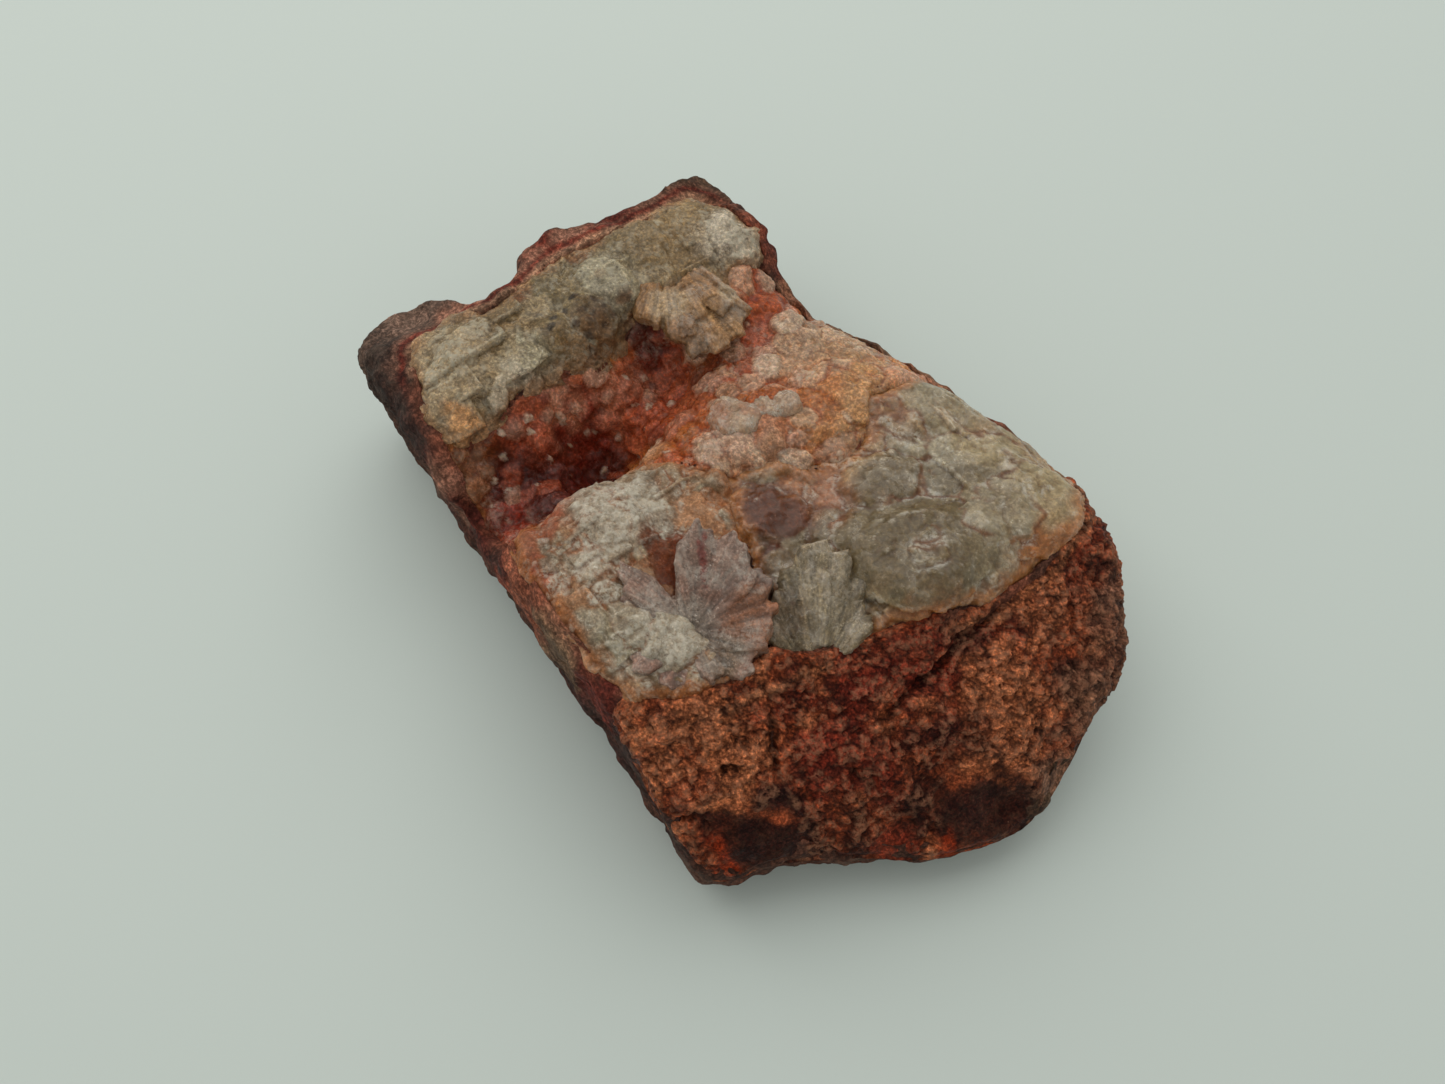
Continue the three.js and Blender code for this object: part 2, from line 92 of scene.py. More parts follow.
def rough(points, size, octaves, salt):  # swells of halving size and strength
    total = np.zeros(len(points))
    for k in range(octaves):
        turned = points @ np.linalg.matrix_power(twist, k)
        total += swell(turned, size / 2 ** k, salt + k) / 2 ** k
    return total


def shaken(points, size, octaves, salt):  # three such noises, one for each axis
    return np.stack([rough(points, size, octaves, salt + k) for k in range(3)], 1)


def grained(points, size, salt):  # nearest seed of a jittered lattice: distances, place, number
    jitter = 0.9  # share of a cell that its seed may wander
    at = points / size
    base = np.floor(at)
    near = np.full(len(points), 9.0)
    second = near.copy()
    seed = np.zeros_like(points)
    own = np.zeros(len(points))
    for shift in np.ndindex(3, 3, 3):
        cell = base + np.array(shift) - 1
        draw = np.stack([hashed(cell, salt + k) for k in range(3)], 1)
        spot = cell + 0.5 + jitter * (draw - 0.5)
        away = np.linalg.norm(at - spot, axis=1)
        closer = away < near
        second = np.where(closer, near, np.minimum(second, away))
        near = np.where(closer, away, near)
        seed[closer] = spot[closer]
        own[closer] = hashed(cell[closer], salt + 5)
    return near * size, second * size, seed * size, own


def bumps(points, size, salt):  # packed grains: height from 0 to 1, how far from a gap, own number
    near, second, _, own = grained(points, size, salt)
    dome = np.sqrt(np.clip(1 - (near / (0.95 * size)) ** 2, 0, 1))
    return dome, fade((second - near) / (0.35 * size)), own


def facets(points, size, salt):  # broken faces: each cell is its own tilted plane, about -1 to 1
    _, _, seed, own = grained(points, size, salt)
    key = np.floor(seed / size * 97)
    tilt = np.stack([hashed(key, salt + 20 + k) - 0.5 for k in range(3)], 1) * 2
    return 1.1 * np.sum(tilt * (points - seed), axis=1) / size + 0.8 * (own - 0.5), own


def readOff(items, key):  # points or normals of a mesh as one array
    flat = np.empty(len(items) * 3, np.float32)
    items.foreach_get(key, flat)
    return flat.reshape(-1, 3).astype(float)


def pointsOf(mesh):
    return readOff(mesh.vertices, "co") / mm


def normalsOf(mesh):
    return readOff(mesh.vertex_normals, "vector")


def setPoints(mesh, points):
    margin = 0.02  # the looks stay this far inside the model's own box
    kept = np.clip(points, cadLow + np.array([margin, margin, 0]), cadHigh - margin)
    mesh.vertices.foreach_set("co", (kept * mm).astype(np.float32).ravel())
    mesh.update()


def newPiece(name, points, faces):
    mesh = bpy.data.meshes.new(name)
    mesh.from_pydata((np.asarray(points) * mm).tolist(), [], faces)
    piece = bpy.data.objects.new(name, mesh)
    bpy.context.scene.collection.objects.link(piece)
    return piece


def joinedParts(parts):  # several closed shapes as one list of points and faces
    points, faces, count = [], [], 0
    for partPoints, partFaces in parts:
        points.append(partPoints)
        faces += [[corner + count for corner in face] for face in partFaces]
        count += len(partPoints)
    return np.concatenate(points), faces


def fused(name, parts, voxel, softening):  # overlapping closed shapes grown into one closed skin
    piece = newPiece(name, *joinedParts(parts))
    remesh = piece.modifiers.new("fuse", "REMESH")
    remesh.mode = "VOXEL"
    remesh.voxel_size = voxel * mm
    soften = piece.modifiers.new("soften", "SMOOTH")
    soften.factor = 0.5
    soften.iterations = softening
    seen = piece.evaluated_get(bpy.context.evaluated_depsgraph_get())
    made = bpy.data.meshes.new_from_object(seen)
    piece.modifiers.clear()
    spare = piece.data
    piece.data = made
    bpy.data.meshes.remove(spare)
    made.name = name
    return piece


def setAttribute(mesh, name, values):  # a colour, a place or a plain number for every point
    kind, key = {"tint": ("FLOAT_COLOR", "color"), "fibre": ("FLOAT_VECTOR", "vector")}.get(
        name, ("FLOAT", "value"))
    made = mesh.attributes.new(name, kind, "POINT")
    made.data.foreach_set(key, values.astype(np.float32).ravel())


def setTint(mesh, tint):  # the colour; milky veils cover it least where it is strong
    tint = np.clip(tint, 0.002, 1)
    strongest = 1 - tint.min(axis=1) / tint.max(axis=1)
    setAttribute(mesh, "tint", np.column_stack([tint, np.ones(len(tint))]))
    setAttribute(mesh, "milk", fade((0.88 - strongest) / 0.4))


def stain(tint, colour, share):  # lays a colour over a tint, in place
    tint += (linearColour(colour) - tint) * share[:, None]


def finished(piece, material, replaced=()):
    piece.data.materials.clear()
    piece.data.materials.append(material)
    piece.data.polygons.foreach_set("use_smooth", [True] * len(piece.data.polygons))
    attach(piece, "root")
    if replaced:
        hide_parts(*replaced)
    print(piece.name, len(piece.data.polygons), "faces")


# The lie of the land: heights of the broken top on a grid, and which piece is uppermost.
bedNodes = ["pale_band", "druse_lining", "frosted_mound", "smoky_bed"]
gridStep = 0.5
gridX = np.arange(-64, 64.01, gridStep)
gridY = np.arange(-44, 44.01, gridStep)


def nodeShape(name, outward=0.0):
    mesh = nodes[name].data
    points = pointsOf(mesh) + outward * normalsOf(mesh)
    return points, [list(polygon.vertices) for polygon in mesh.polygons]


def spread(field, rounds, pick):  # each cell takes the largest or smallest of its neighbours
    for _ in range(rounds):
        padded = np.pad(field, 1, mode="edge")
        field = pick.reduce([padded[j:j + field.shape[0], i:i + field.shape[1]]
                             for j in range(3) for i in range(3)])
    return field


def blurred(field, radius, weight=None):
    weight = np.ones_like(field) if weight is None else weight
    reach = int(3 * radius / gridStep) + 1
    kernel = np.exp(-0.5 * (np.arange(-reach, reach + 1) * gridStep / radius) ** 2)

    def both(values):
        rows = np.apply_along_axis(np.convolve, 1, values, kernel, "same")
        return np.apply_along_axis(np.convolve, 0, rows, kernel, "same")
    return both(field * weight) / np.maximum(both(weight), 1e-6)


def sampled(field, points):  # a grid's value at points, between cells
    u = np.clip((points[:, 0] - gridX[0]) / gridStep, 0, len(gridX) - 1.001)
    v = np.clip((points[:, 1] - gridY[0]) / gridStep, 0, len(gridY) - 1.001)
    i, j = u.astype(int), v.astype(int)
    s, t = u - i, v - j
    low = field[j, i] * (1 - s) + field[j, i + 1] * s
    high = field[j + 1, i] * (1 - s) + field[j + 1, i + 1] * s
    return low * (1 - t) + high * t


def depthField(mask):  # how far inside a patch each cell lies, under 0 outside, kept within 4 mm
    inside, outside = np.zeros(mask.shape), np.zeros(mask.shape)
    grown, shrunk = mask.astype(float), mask.astype(float)
    for _ in range(int(4 / gridStep)):
        inside += shrunk * gridStep
        outside += (1 - grown) * gridStep
        shrunk = spread(shrunk, 1, np.minimum)
        grown = spread(grown, 1, np.maximum)
    return blurred(inside - outside, 0.6)


solids = [nodeShape(name) for name in ["host_rock"] + bedNodes]
owners = np.concatenate([np.full(len(faces), k) for k, (_, faces) in enumerate(solids)])
skyTree = BVHTree.FromPolygons(*[list(map(list, x)) for x in joinedParts(solids)])
height = np.full((len(gridY), len(gridX)), np.nan)
label = np.full(height.shape, -1)
for j, y in enumerate(gridY):
    for i, x in enumerate(gridX):
        spot, _, face, _ = skyTree.ray_cast(Vector((x, y, 90)), Vector((0, 0, -1)))
        if spot:
            height[j, i] = spot.z
            label[j, i] = owners[face]
solid = ~np.isnan(height)
filled = np.where(solid, height, 0)
filled = np.minimum(spread(spread(filled, 2, np.maximum), 2, np.minimum), filled + 20)
lumpDepth = depthField(solid)
bedShare = fade(blurred((label > 0).astype(float), 1.0))
ground = blurred(filled, 1.1, solid.astype(float))  # softer under the beds than on the rock
ground += (blurred(filled, 2.3, solid.astype(float)) - ground) * bedShare
groundY, groundX = np.gradient(ground, gridStep)
bedDepth = {}
for k, name in enumerate(bedNodes):
    closed = spread(spread((label == k + 1).astype(float), 1, np.maximum), 1, np.minimum)
    bedDepth[name] = depthField(closed > 0.5)
print("land", solid.sum(), "cells")


def standing(x, y):  # the point of the smooth broken top at x, y, and the way out of it
    spots = np.stack([np.atleast_1d(x), np.atleast_1d(y)], 1).astype(float)
    slopes = [-sampled(groundX, spots), -sampled(groundY, spots), np.ones(len(spots))]
    out = np.stack(slopes, 1)
    foot = np.column_stack([spots, sampled(ground, spots)])
    return foot, out / np.linalg.norm(out, axis=1)[:, None]


# How a crystal falls away from its middle: shares of its half width, and of its height.
habits = {
    "block": ([0, 0.66, 0.86, 1, 1.2, 2], [1, 0.95, 0.7, 0.2, -0.9, -6]),
    "flush": ([0, 0.5, 0.8, 1, 1.35, 2], [1, 0.97, 0.84, 0.55, -0.2, -2]),
    "point": ([0, 0.8, 1, 2], [1, 0.4, 0, -3]),
    "lump": ([0, 0.3, 0.56, 0.8, 1, 2], [1, 0.95, 0.78, 0.48, 0.1, -2]),
    "shard": ([0, 0.9, 1, 2], [1, 0.62, 0.1, -5]), "chip": ([0, 0.7, 1, 2], [1, 0.85, 0, -5]),
}


def crystalAt(random, x, y, width, breadth, tall, turn, habit, sides, slant, tone=None):
    foot, out = standing(x, y)
    side = np.cross([-math.sin(turn), math.cos(turn), 0], out[0])
    side /= np.linalg.norm(side)
    angles = (np.arange(sides) + 0.3 * random.random(sides)) * 2 * np.pi / sides
    spans = np.hypot(width / 2 * np.cos(angles), breadth / 2 * np.sin(angles))
    spans = spans * (0.88 + 0.24 * random.random(sides))
    lean = 2 * math.pi * random.random()
    tilt = slant * (0.3 + 0.7 * random.random())
    return {"foot": foot[0], "out": out[0], "side": side, "across": np.cross(out[0], side),
            "angles": angles, "spans": spans, "tall": tall, "habit": habit, "tone": tone,
            "tilt": (tilt * math.cos(lean), tilt * math.sin(lean)),
            "reach": 0.9 * max(width, breadth) + 0.6,
            "shade": random.random(), "frost": random.random()}


def openSheet(step, depthGrid, reach):  # a fine net laid over a patch of the broken top
    rows, columns = np.nonzero(depthGrid > -reach)
    xs = np.arange(gridX[columns.min()], gridX[columns.max()] + step, step)
    ys = np.arange(gridY[rows.min()], gridY[rows.max()] + step, step)
    flatX, flatY = (values.ravel() for values in np.meshgrid(xs, ys))
    foot, out = standing(flatX, flatY)
    shape = (len(ys), len(xs))
    return {"xs": xs, "ys": ys, "foot": foot.reshape(*shape, 3), "out": out.reshape(*shape, 3),
            "depth": sampled(depthGrid, foot).reshape(shape)}


def grown(sheet, crystals, floor):  # heights over the net where crystals stand through one another
    flat = sheet["foot"].reshape(-1, 3)
    bent = (flat + 0.38 * shaken(flat, 2.2, 3, 500)).reshape(sheet["foot"].shape)
    best, second = floor.copy(), floor - 1
    owner = np.full(floor.shape, -1)
    cap = np.zeros(floor.shape)
    for k, one in enumerate(crystals):
        ends = [one["foot"][:2] - one["reach"], one["foot"][:2] + one["reach"]]
        i0, i1 = np.searchsorted(sheet["xs"], [end[0] for end in ends])
        j0, j1 = np.searchsorted(sheet["ys"], [end[1] for end in ends])
        window = (slice(j0, j1), slice(i0, i1))
        away = bent[window] - one["foot"]
        u, v, w = away @ one["side"], away @ one["across"], away @ one["out"]
        rise = np.full(u.shape, 1.0)
        for angle, span in zip(one["angles"], one["spans"]):
            toFace = (u * math.cos(angle) + v * math.sin(angle)) / span
            rise = np.minimum(rise, np.interp(toFace, *habits[one["habit"]]))
        leanU, leanV = one["tilt"]
        lift = one["tall"] * rise + leanU * u + leanV * v - 0.9 * np.clip(w, -2, 2)
        lift = np.where(np.abs(w) < 4, lift, -9)
        higher = lift > best[window]
        second[window] = np.where(higher, best[window], np.maximum(second[window], lift))
        best[window] = np.where(higher, lift, best[window])
        owner[window] = np.where(higher, k, owner[window])
        cap[window] = np.where(higher, rise, cap[window])
    return best, best - second, owner, cap


def softened(grid, reach):  # a plain average over a square of neighbours
    for axis in (0, 1):
        first, last = (np.repeat(np.take(grid, [end], axis), reach, axis) for end in (0, -1))
        padded = np.concatenate([first, grid, last], axis)
        width, count = 2 * reach + 1, grid.shape[axis]
        grid = sum(np.take(padded, range(k, k + count), axis) for k in range(width)) / width
    return grid


def closedSheet(name, sheet, member, lift, thick):  # a net given a top, an underside and a rim
    inside = member[:-1, :-1] & member[1:, :-1] & member[:-1, 1:] & member[1:, 1:]
    used = np.zeros(member.shape, bool)
    for j in (slice(0, -1), slice(1, None)):
        for i in (slice(0, -1), slice(1, None)):
            used[j, i] |= inside
    count = int(used.sum())
    index = np.full(member.shape, -1)
    index[used] = np.arange(count)
    j, i = np.nonzero(inside)
    loops = np.stack([index[j, i], index[j, i + 1], index[j + 1, i + 1], index[j + 1, i]], 1)
    edges = np.concatenate([np.stack([loops[:, k], loops[:, (k + 1) % 4]], 1) for k in range(4)])
    there, back = edges[:, 0] * count + edges[:, 1], edges[:, 1] * count + edges[:, 0]
    single = edges[~np.isin(there, back)]
    rim = np.stack([single[:, 1], single[:, 0], single[:, 0] + count, single[:, 1] + count], 1)
    foot, out = sheet["foot"][used], sheet["out"][used]
    sides = [foot + out * lift[used][:, None], foot - out * thick]
    onRim = np.unique(single)
    neighbours = np.bincount(single.ravel(), minlength=count)[onRim, None]
    for _ in range(6):  # the stepped rim is drawn straight
        for side in sides:
            beside = np.zeros_like(side)
            np.add.at(beside, single, side[single[:, ::-1]])
            side[onRim] = (side[onRim] + beside[onRim] / neighbours) / 2
    faces = np.concatenate([loops, loops[:, ::-1] + count, rim]).tolist()
    piece = newPiece(name, np.concatenate(sides), faces)
    setPoints(piece.data, pointsOf(piece.data))
    return piece, used


def scattered(random, depth, rows, taken, inset):  # darts kept apart by their own size
    spots = []
    for low, high, tries, inZone in rows:
        for _ in range(tries):
            x = gridX[0] + random.random() * (gridX[-1] - gridX[0])
            y = gridY[0] + random.random() * (gridY[-1] - gridY[0])
            size = low + (high - low) * random.random()
            if sampled(depth, np.array([[x, y]]))[0] < inset or not inZone(x, y):
                continue
            near = np.array(taken + spots)
            apart = 0.37 * (near[:, 2] + size)  # they may grow into each other
            if np.any(np.hypot(near[:, 0] - x, near[:, 1] - y) < apart):
                continue
            spots.append((x, y, size))
    return spots


def painted(points, palette, base, marks, wander, salt):  # soft stains over a base colour, in order
    drift = np.stack([rough(points, 4, 3, salt + 10 * k) for k in range(2)], 1) * wander
    at = points[:, :2] + drift
    plain = isinstance(base, str)
    tint = np.tile(linearColour(palette[base]), (len(points), 1)) if plain else base
    for tone, x, y, radius, strength in marks:
        away = np.hypot(at[:, 0] - x, at[:, 1] - y) / radius
        stain(tint, palette[tone], strength * fade((1.3 - away) / 0.6))
    return tint


def addNode(tree, kind, inputs=(), out=0, **settings):  # a node made and joined up; gives an output
    made = tree.nodes.new("ShaderNode" + kind)
    for key, value in settings.items():
        setattr(made, key, value)
    for key, value in inputs.items() if isinstance(inputs, dict) else enumerate(inputs):
        if isinstance(value, bpy.types.NodeSocket):
            tree.links.new(value, made.inputs[key])
        else:
            made.inputs[key].default_value = value
    return made.outputs[out] if made.outputs else made


# A look's sparkle colour, glints and lines set painted highlights, mixed into the base colour.
def stoneMaterial(name, look):
    material = bpy.data.materials.new(name)
    material.use_nodes = True
    tree = material.node_tree
    tree.nodes.clear()
    place = addNode(tree, "TexCoord", out="Object")
    tint = addNode(tree, "Attribute", attribute_name="tint")
    frost, milk = (addNode(tree, "Attribute", out="Fac", attribute_name=own)
                   for own in ("frost", "milk"))

    # Broken faces, finer chips and the thin lines between faces, bent so that none is round.
    bend = 0.9 * look["facetSize"] * mm
    stir = addNode(tree, "TexNoise", {"Vector": place, "Scale": 1 / bend, "Detail": 4,
                                      "Roughness": 0.65}, "Color")
    bent = addNode(tree, "VectorMath", [stir, (bend, bend, bend), place], operation="MULTIPLY_ADD")
    cells = {"Vector": bent, "Scale": 1 / (look["facetSize"] * mm)}
    faces = addNode(tree, "TexVoronoi", cells, "Color")
    toEdge = addNode(tree, "TexVoronoi", cells, feature="DISTANCE_TO_EDGE")
    small = {"Vector": bent, "Scale": 1 / (look["speckSize"] * mm)}
    chips = addNode(tree, "TexVoronoi", small, "Color")
    facePick, chipPick = (addNode(tree, "SeparateColor", [own]).node.outputs
                          for own in (faces, chips))
    noise = {}
    for key, at, size, detail, roughness, bending in (
            ("cloud", place, "cloudSize", 5, 0.65, 0.6), ("fine", place, "fineSize", 3, 0.7, 0),
            ("veil", place, "veilSize", 5, 0.65, 0.5), ("lace", bent, "frostSize", 5, 0.75, 0),
            ("relief", bent, "bumpSize", 5, 0.7, 0)):
        noise[key] = addNode(tree, "TexNoise", {
            "Vector": at, "Scale": 1 / (look[size] * mm), "Detail": detail, "Roughness": roughness,
            "Distortion": bending})

    # Shade: broad clouds, each face and chip its own, a sugary mottle, and streaks along a blade.
    shades = [(noise["cloud"], 0.3, 0.7, look["cloud"], look["cloud"]),
              (facePick[0], 0, 1, 0.8 * look["speck"], 0.8 * look["speck"]),
              (chipPick[0], 0, 1, look["speck"], look["speck"]),
              (noise["fine"], 0.45, 0.65, 0.5 * look["fine"], 1.6 * look["fine"])]
    relief = noise["relief"]
    if look.get("fibre"):
        along = addNode(tree, "Attribute", out="Vector", attribute_name="fibre")
        fibres = addNode(tree, "TexNoise", {"Vector": along, "Scale": 1, "Detail": 4,
                                            "Roughness": 0.7})
        shades.append((fibres, 0.32, 0.68, look["fibre"], look["fibre"]))
        relief = addNode(tree, "Math", [relief, fibres], operation="ADD")
    shade = 1.0
    for value, low, high, darker, lighter in shades:
        part = addNode(tree, "MapRange", [value, low, high, 1 - darker, 1 + lighter])
        shade = addNode(tree, "Math", [part, shade], operation="MULTIPLY")
    grey = addNode(tree, "CombineColor", [shade, shade, shade])

    # Where each thing shows: a noise, the values it fades in between, and its strength there.
    ramp = {key: addNode(tree, "MapRange", values) for key, values in {
        "line": (toEdge, 0, 0.12 / look["facetSize"], 1, 0),
        "veil": (noise["veil"], 0.48, 0.72, 0, look["veil"]),
        "lace": (noise["lace"], 0.4, 0.58, 0, 1),
        # The glints and the bright lines along face edges are painted highlights.
        "glint": (noise["fine"], 0.62, 0.68, 0, look["paintedGlints"]),
        "glintPatch": (noise["cloud"], 0.48, 0.6, 0, 1),
        "paintedHighlightLine": (noise["veil"], 0.47, 0.57, 0, look["lines"]),
        "darkLine": (noise["veil"], 0.46, 0.4, 0, look["cracks"]),
        "dirt": (chipPick[2], 0.94, 0.97, 0, look["dirt"]),
        "dirtPatch": (noise["cloud"], 0.5, 0.42, 0, 1),
        "dull": (facePick[1], 0, 1, *look["gloss"]),
    }.items()}
    both = {key: addNode(tree, "Math", pair, operation="MULTIPLY") for key, pair in {
        "veil": (ramp["veil"], milk), "lace": (ramp["lace"], frost),
        "glint": (ramp["glint"], ramp["glintPatch"]),
        "paintedHighlightLine": (ramp["paintedHighlightLine"], ramp["line"]),
        "darkLine": (ramp["darkLine"], ramp["line"]), "dirt": (ramp["dirt"], ramp["dirtPatch"]),
    }.items()}
    # Painted highlight: the bright lines and glints together, weaker where the colour is strong.
    paintedHighlight = addNode(tree, "Math", [both["paintedHighlightLine"], both["glint"]], operation="MAXIMUM")
    milkShare = addNode(tree, "Math", [milk, 0.85, 0.15], operation="MULTIPLY_ADD")
    paintedHighlight = addNode(tree, "Math", [paintedHighlight, milkShare], operation="MULTIPLY")
    dirt = addNode(tree, "Math", [both["dirt"], both["darkLine"]], operation="MAXIMUM")

    # Milky veils in the crystal, frost on its skin, painted highlights (bright lines, glints),
    # cracks, dirt.
    colour = addNode(tree, "Mix", {0: 1.0, 6: tint, 7: grey}, 2, data_type="RGBA",
                     blend_type="MULTIPLY")
    for share, key in ((both["veil"], "frostColour"), (both["lace"], "frostColour"),
                       (paintedHighlight, "paintedHighlight"), (dirt, "dirtColour")):
        paint = (*linearColour(look[key]), 1)
        colour = addNode(tree, "Mix", {0: share, 6: colour, 7: paint}, 2, data_type="RGBA")
    frosted = addNode(tree, "Math", [both["lace"], paintedHighlight], operation="MAXIMUM")
    rougher = addNode(tree, "Math", [frosted, 0.3, ramp["dull"]], operation="MULTIPLY_ADD")

    # Each broken face leans its own way, with fine relief on top.
    normal = addNode(tree, "NewGeometry", out="Normal")
    for own, share in ((faces, 1.0), (chips, 0.8)):
        lean = addNode(tree, "VectorMath", [own, (0.5, 0.5, 0.5)], operation="SUBTRACT")
        lean = addNode(tree, "VectorMath", {0: lean, "Scale": share * look["facetTilt"]},
                       operation="SCALE")
        normal = addNode(tree, "VectorMath", [normal, lean], operation="ADD")
    normal = addNode(tree, "VectorMath", [normal], operation="NORMALIZE")
    fine = addNode(tree, "Bump", {"Height": relief, "Strength": look["bump"], "Normal": normal,
                                  "Distance": look.get("bumpDepth", 0.3) * mm})
    surface = addNode(tree, "BsdfPrincipled", {
        "Base Color": colour, "Roughness": rougher, "Normal": fine, "IOR": 1.54,
        "Specular IOR Level": look["shine"], "Subsurface Weight": look.get("glow", 0),
        "Subsurface Radius": look.get("glowRadius", (1, 0.6, 0.4)),
        "Subsurface Scale": look.get("glowDepth", 1) * mm,
        "Transmission Weight": look.get("clear", 0)})
    addNode(tree, "OutputMaterial", {"Surface": surface})
    return material


# Ironstone rind: dull, weathered, brown-red with tan and dark stains.
rindLook = {
    "paintedHighlight": "#9a8674", "cloudSize": 5, "cloud": 0.36, "speckSize": 0.9, "speck": 0.26,
    "fineSize": 0.6, "fine": 0.64, "veilSize": 2.4, "veil": 0.3, "frostSize": 1.2,
    "frostColour": "#8a7666", "gloss": (0.7, 0.9), "shine": 0.15, "bumpSize": 1.2, "bump": 1,
    "bumpDepth": 0.8, "facetSize": 2.2, "facetTilt": 0.3, "paintedGlints": 0.3, "lines": 0.15,
    "cracks": 0.6, "dirt": 0.6, "dirtColour": "#2c1c16",
}
rind = {
    "voxel": 0.6, "softening": 6, "underBeds": 0.3, "flatBelow": 0.25,
    "lumps": (7, 0.7),  # size and height
    "knobs": (3, 0.55),
    "sink": 1.5,  # how far the rock stays under the crystals
    "base": "brown",
    "palette": {
        "brown": "#543428", "tan": "#6e574a", "dark": "#3a2b24", "pink": "#8f6350",
        "red": "#6a2a1f", "purple": "#362220", "grey": "#54402f", "crust": "#98795c",
        "buff": "#a07a60", "coral": "#94563f",
    },
    "marks": [  # tone, x, y, radius, strength
        ("tan", -57, -30, 12, 0.8), ("dark", -48, -36, 9, 0.9), ("tan", -60, -28, 5, 0.8),
        ("pink", -53, -21, 4, 0.9), ("pink", -53, -10, 4, 0.9), ("red", -52, -4, 4, 0.8),
        ("pink", -53, 3, 4, 0.8), ("red", -52, 9, 4, 0.8), ("pink", -53, 18, 5, 0.9),
        ("grey", -50, 27, 6, 0.8), ("purple", -20, -42, 26, 0.7), ("purple", 20, -42, 16, 0.8),
        ("grey", 58, 12, 10, 0.8), ("grey", 55, 22, 9, 0.8), ("crust", 34, 38, 9, 0.9),
        ("crust", 24, 41, 8, 0.9), ("red", -8, -40, 5, 0.9), ("crust", 2, -40, 5, 0.6),
        ("red", 12, -41, 5, 0.8), ("red", -26, -38, 8, 0.5), ("red", -34, 28, 5, 0.6),
        ("crust", -20, 30, 8, 0.5), ("crust", 0, 36, 10, 0.7), ("coral", -6.8, -39, 5, 0.95),
        ("pink", -29.4, -36.8, 4, 0.8), ("pink", -51, -4.9, 3, 0.8),
    ],
    # tone and size of the stains on the walls
    "blotches": [("grey", 16), ("purple", 11), ("red", 14), ("tan", 9)],
    "notches": [(-57, -14.5, 7, 4.5, 1)],  # x, y, radius, push along x and y
    # tone, middle and half width outside the pale band, strength
    "rims": [("buff", 0.7, 1.3, 0.85), ("red", 2.2, 0.9, 0.9), ("pink", 3.1, 0.7, 0.5)],
}


def makeHost():
    palette = rind["palette"]
    shapes = [nodeShape("host_rock")] + [nodeShape(name, rind["underBeds"]) for name in bedNodes]
    piece = fused("host_rock_surface", shapes, rind["voxel"], rind["softening"])
    points = pointsOf(piece.data)
    for x, y, radius, pushX, pushY in rind["notches"]:
        near = fade(1.2 - np.hypot(points[:, 0] - x, points[:, 1] - y) / radius)
        near = near * fade((points[:, 2] - 4) / 12)  # the foot stays where it is
        points[:, 0] += pushX * near
        points[:, 1] += pushY * near
    out = normalsOf(piece.data)
    top = fade((out[:, 2] - 0.1) / 0.3) * (np.abs(points[:, 2] - sampled(ground, points)) < 3)
    within = np.max([sampled(bedDepth[name], points) for name in bedNodes], axis=0)
    grit = sampled(gritDepth, points)
    covered = np.maximum(fade((within + 0.9) / 1.4), fade((grit - 0.2) / 2.4))
    free = fade((points[:, 2] - 0.3) / 3)
    relief = sum(strength * rough(points, size, 3, 40 + k)
                 for k, (size, strength) in enumerate((rind["lumps"], rind["knobs"])))
    pits = -0.5 * fade((rough(points, 1.6, 2, 61) - 0.35) / 0.4)
    points += out * (free * (relief + pits * (1 - top)))[:, None]
    roof = sampled(ground, points) - rind["sink"] * covered + 3 * (1 - covered)
    under = (covered > 0) & (out[:, 2] > -0.2)
    points[:, 2] = np.where(under, np.minimum(points[:, 2], roof), points[:, 2])
    points[:, 2] = np.where(points[:, 2] < rind["flatBelow"], 0, points[:, 2])
    setPoints(piece.data, points)

    tint = painted(points, palette, rind["base"], rind["marks"], 2.5, 70)
    wall = np.tile(linearColour(palette["brown"]), (len(points), 1))
    for k, (tone, size) in enumerate(rind["blotches"]):
        stain(wall, palette[tone], 0.75 * fade(1.1 * rough(points, size, 4, 700 + k)))
    depthBelow = sampled(ground, points) - points[:, 2] + 2 * rough(points, 5, 3, 710)
    tint += (wall - tint) * fade((depthBelow - 5) / 9)[:, None]
    beside = 0.6 * top * fade((within + 3.2) / 2.6) * fade(0.6 + rough(points, 4, 3, 87))
    stain(tint, palette["coral"], beside)
    away = -sampled(bedDepth["pale_band"], points) + 0.5 * rough(points, 3, 3, 85)
    for tone, near, wide, strength in rind["rims"]:
        ring = strength * top * fade(1 - np.abs(away - near) / wide)
        stain(tint, palette[tone], ring * fade((-42 - points[:, 0]) / 6))
    tint *= (1 + 0.3 * rough(points, 9, 3, 81))[:, None]
    setTint(piece.data, tint)
    setAttribute(piece.data, "frost", 0.5 * fade(rough(points, 7, 3, 90)) * (1 - top))
    finished(piece, stoneMaterial("weathered ironstone rind", rindLook), ["host_rock"])


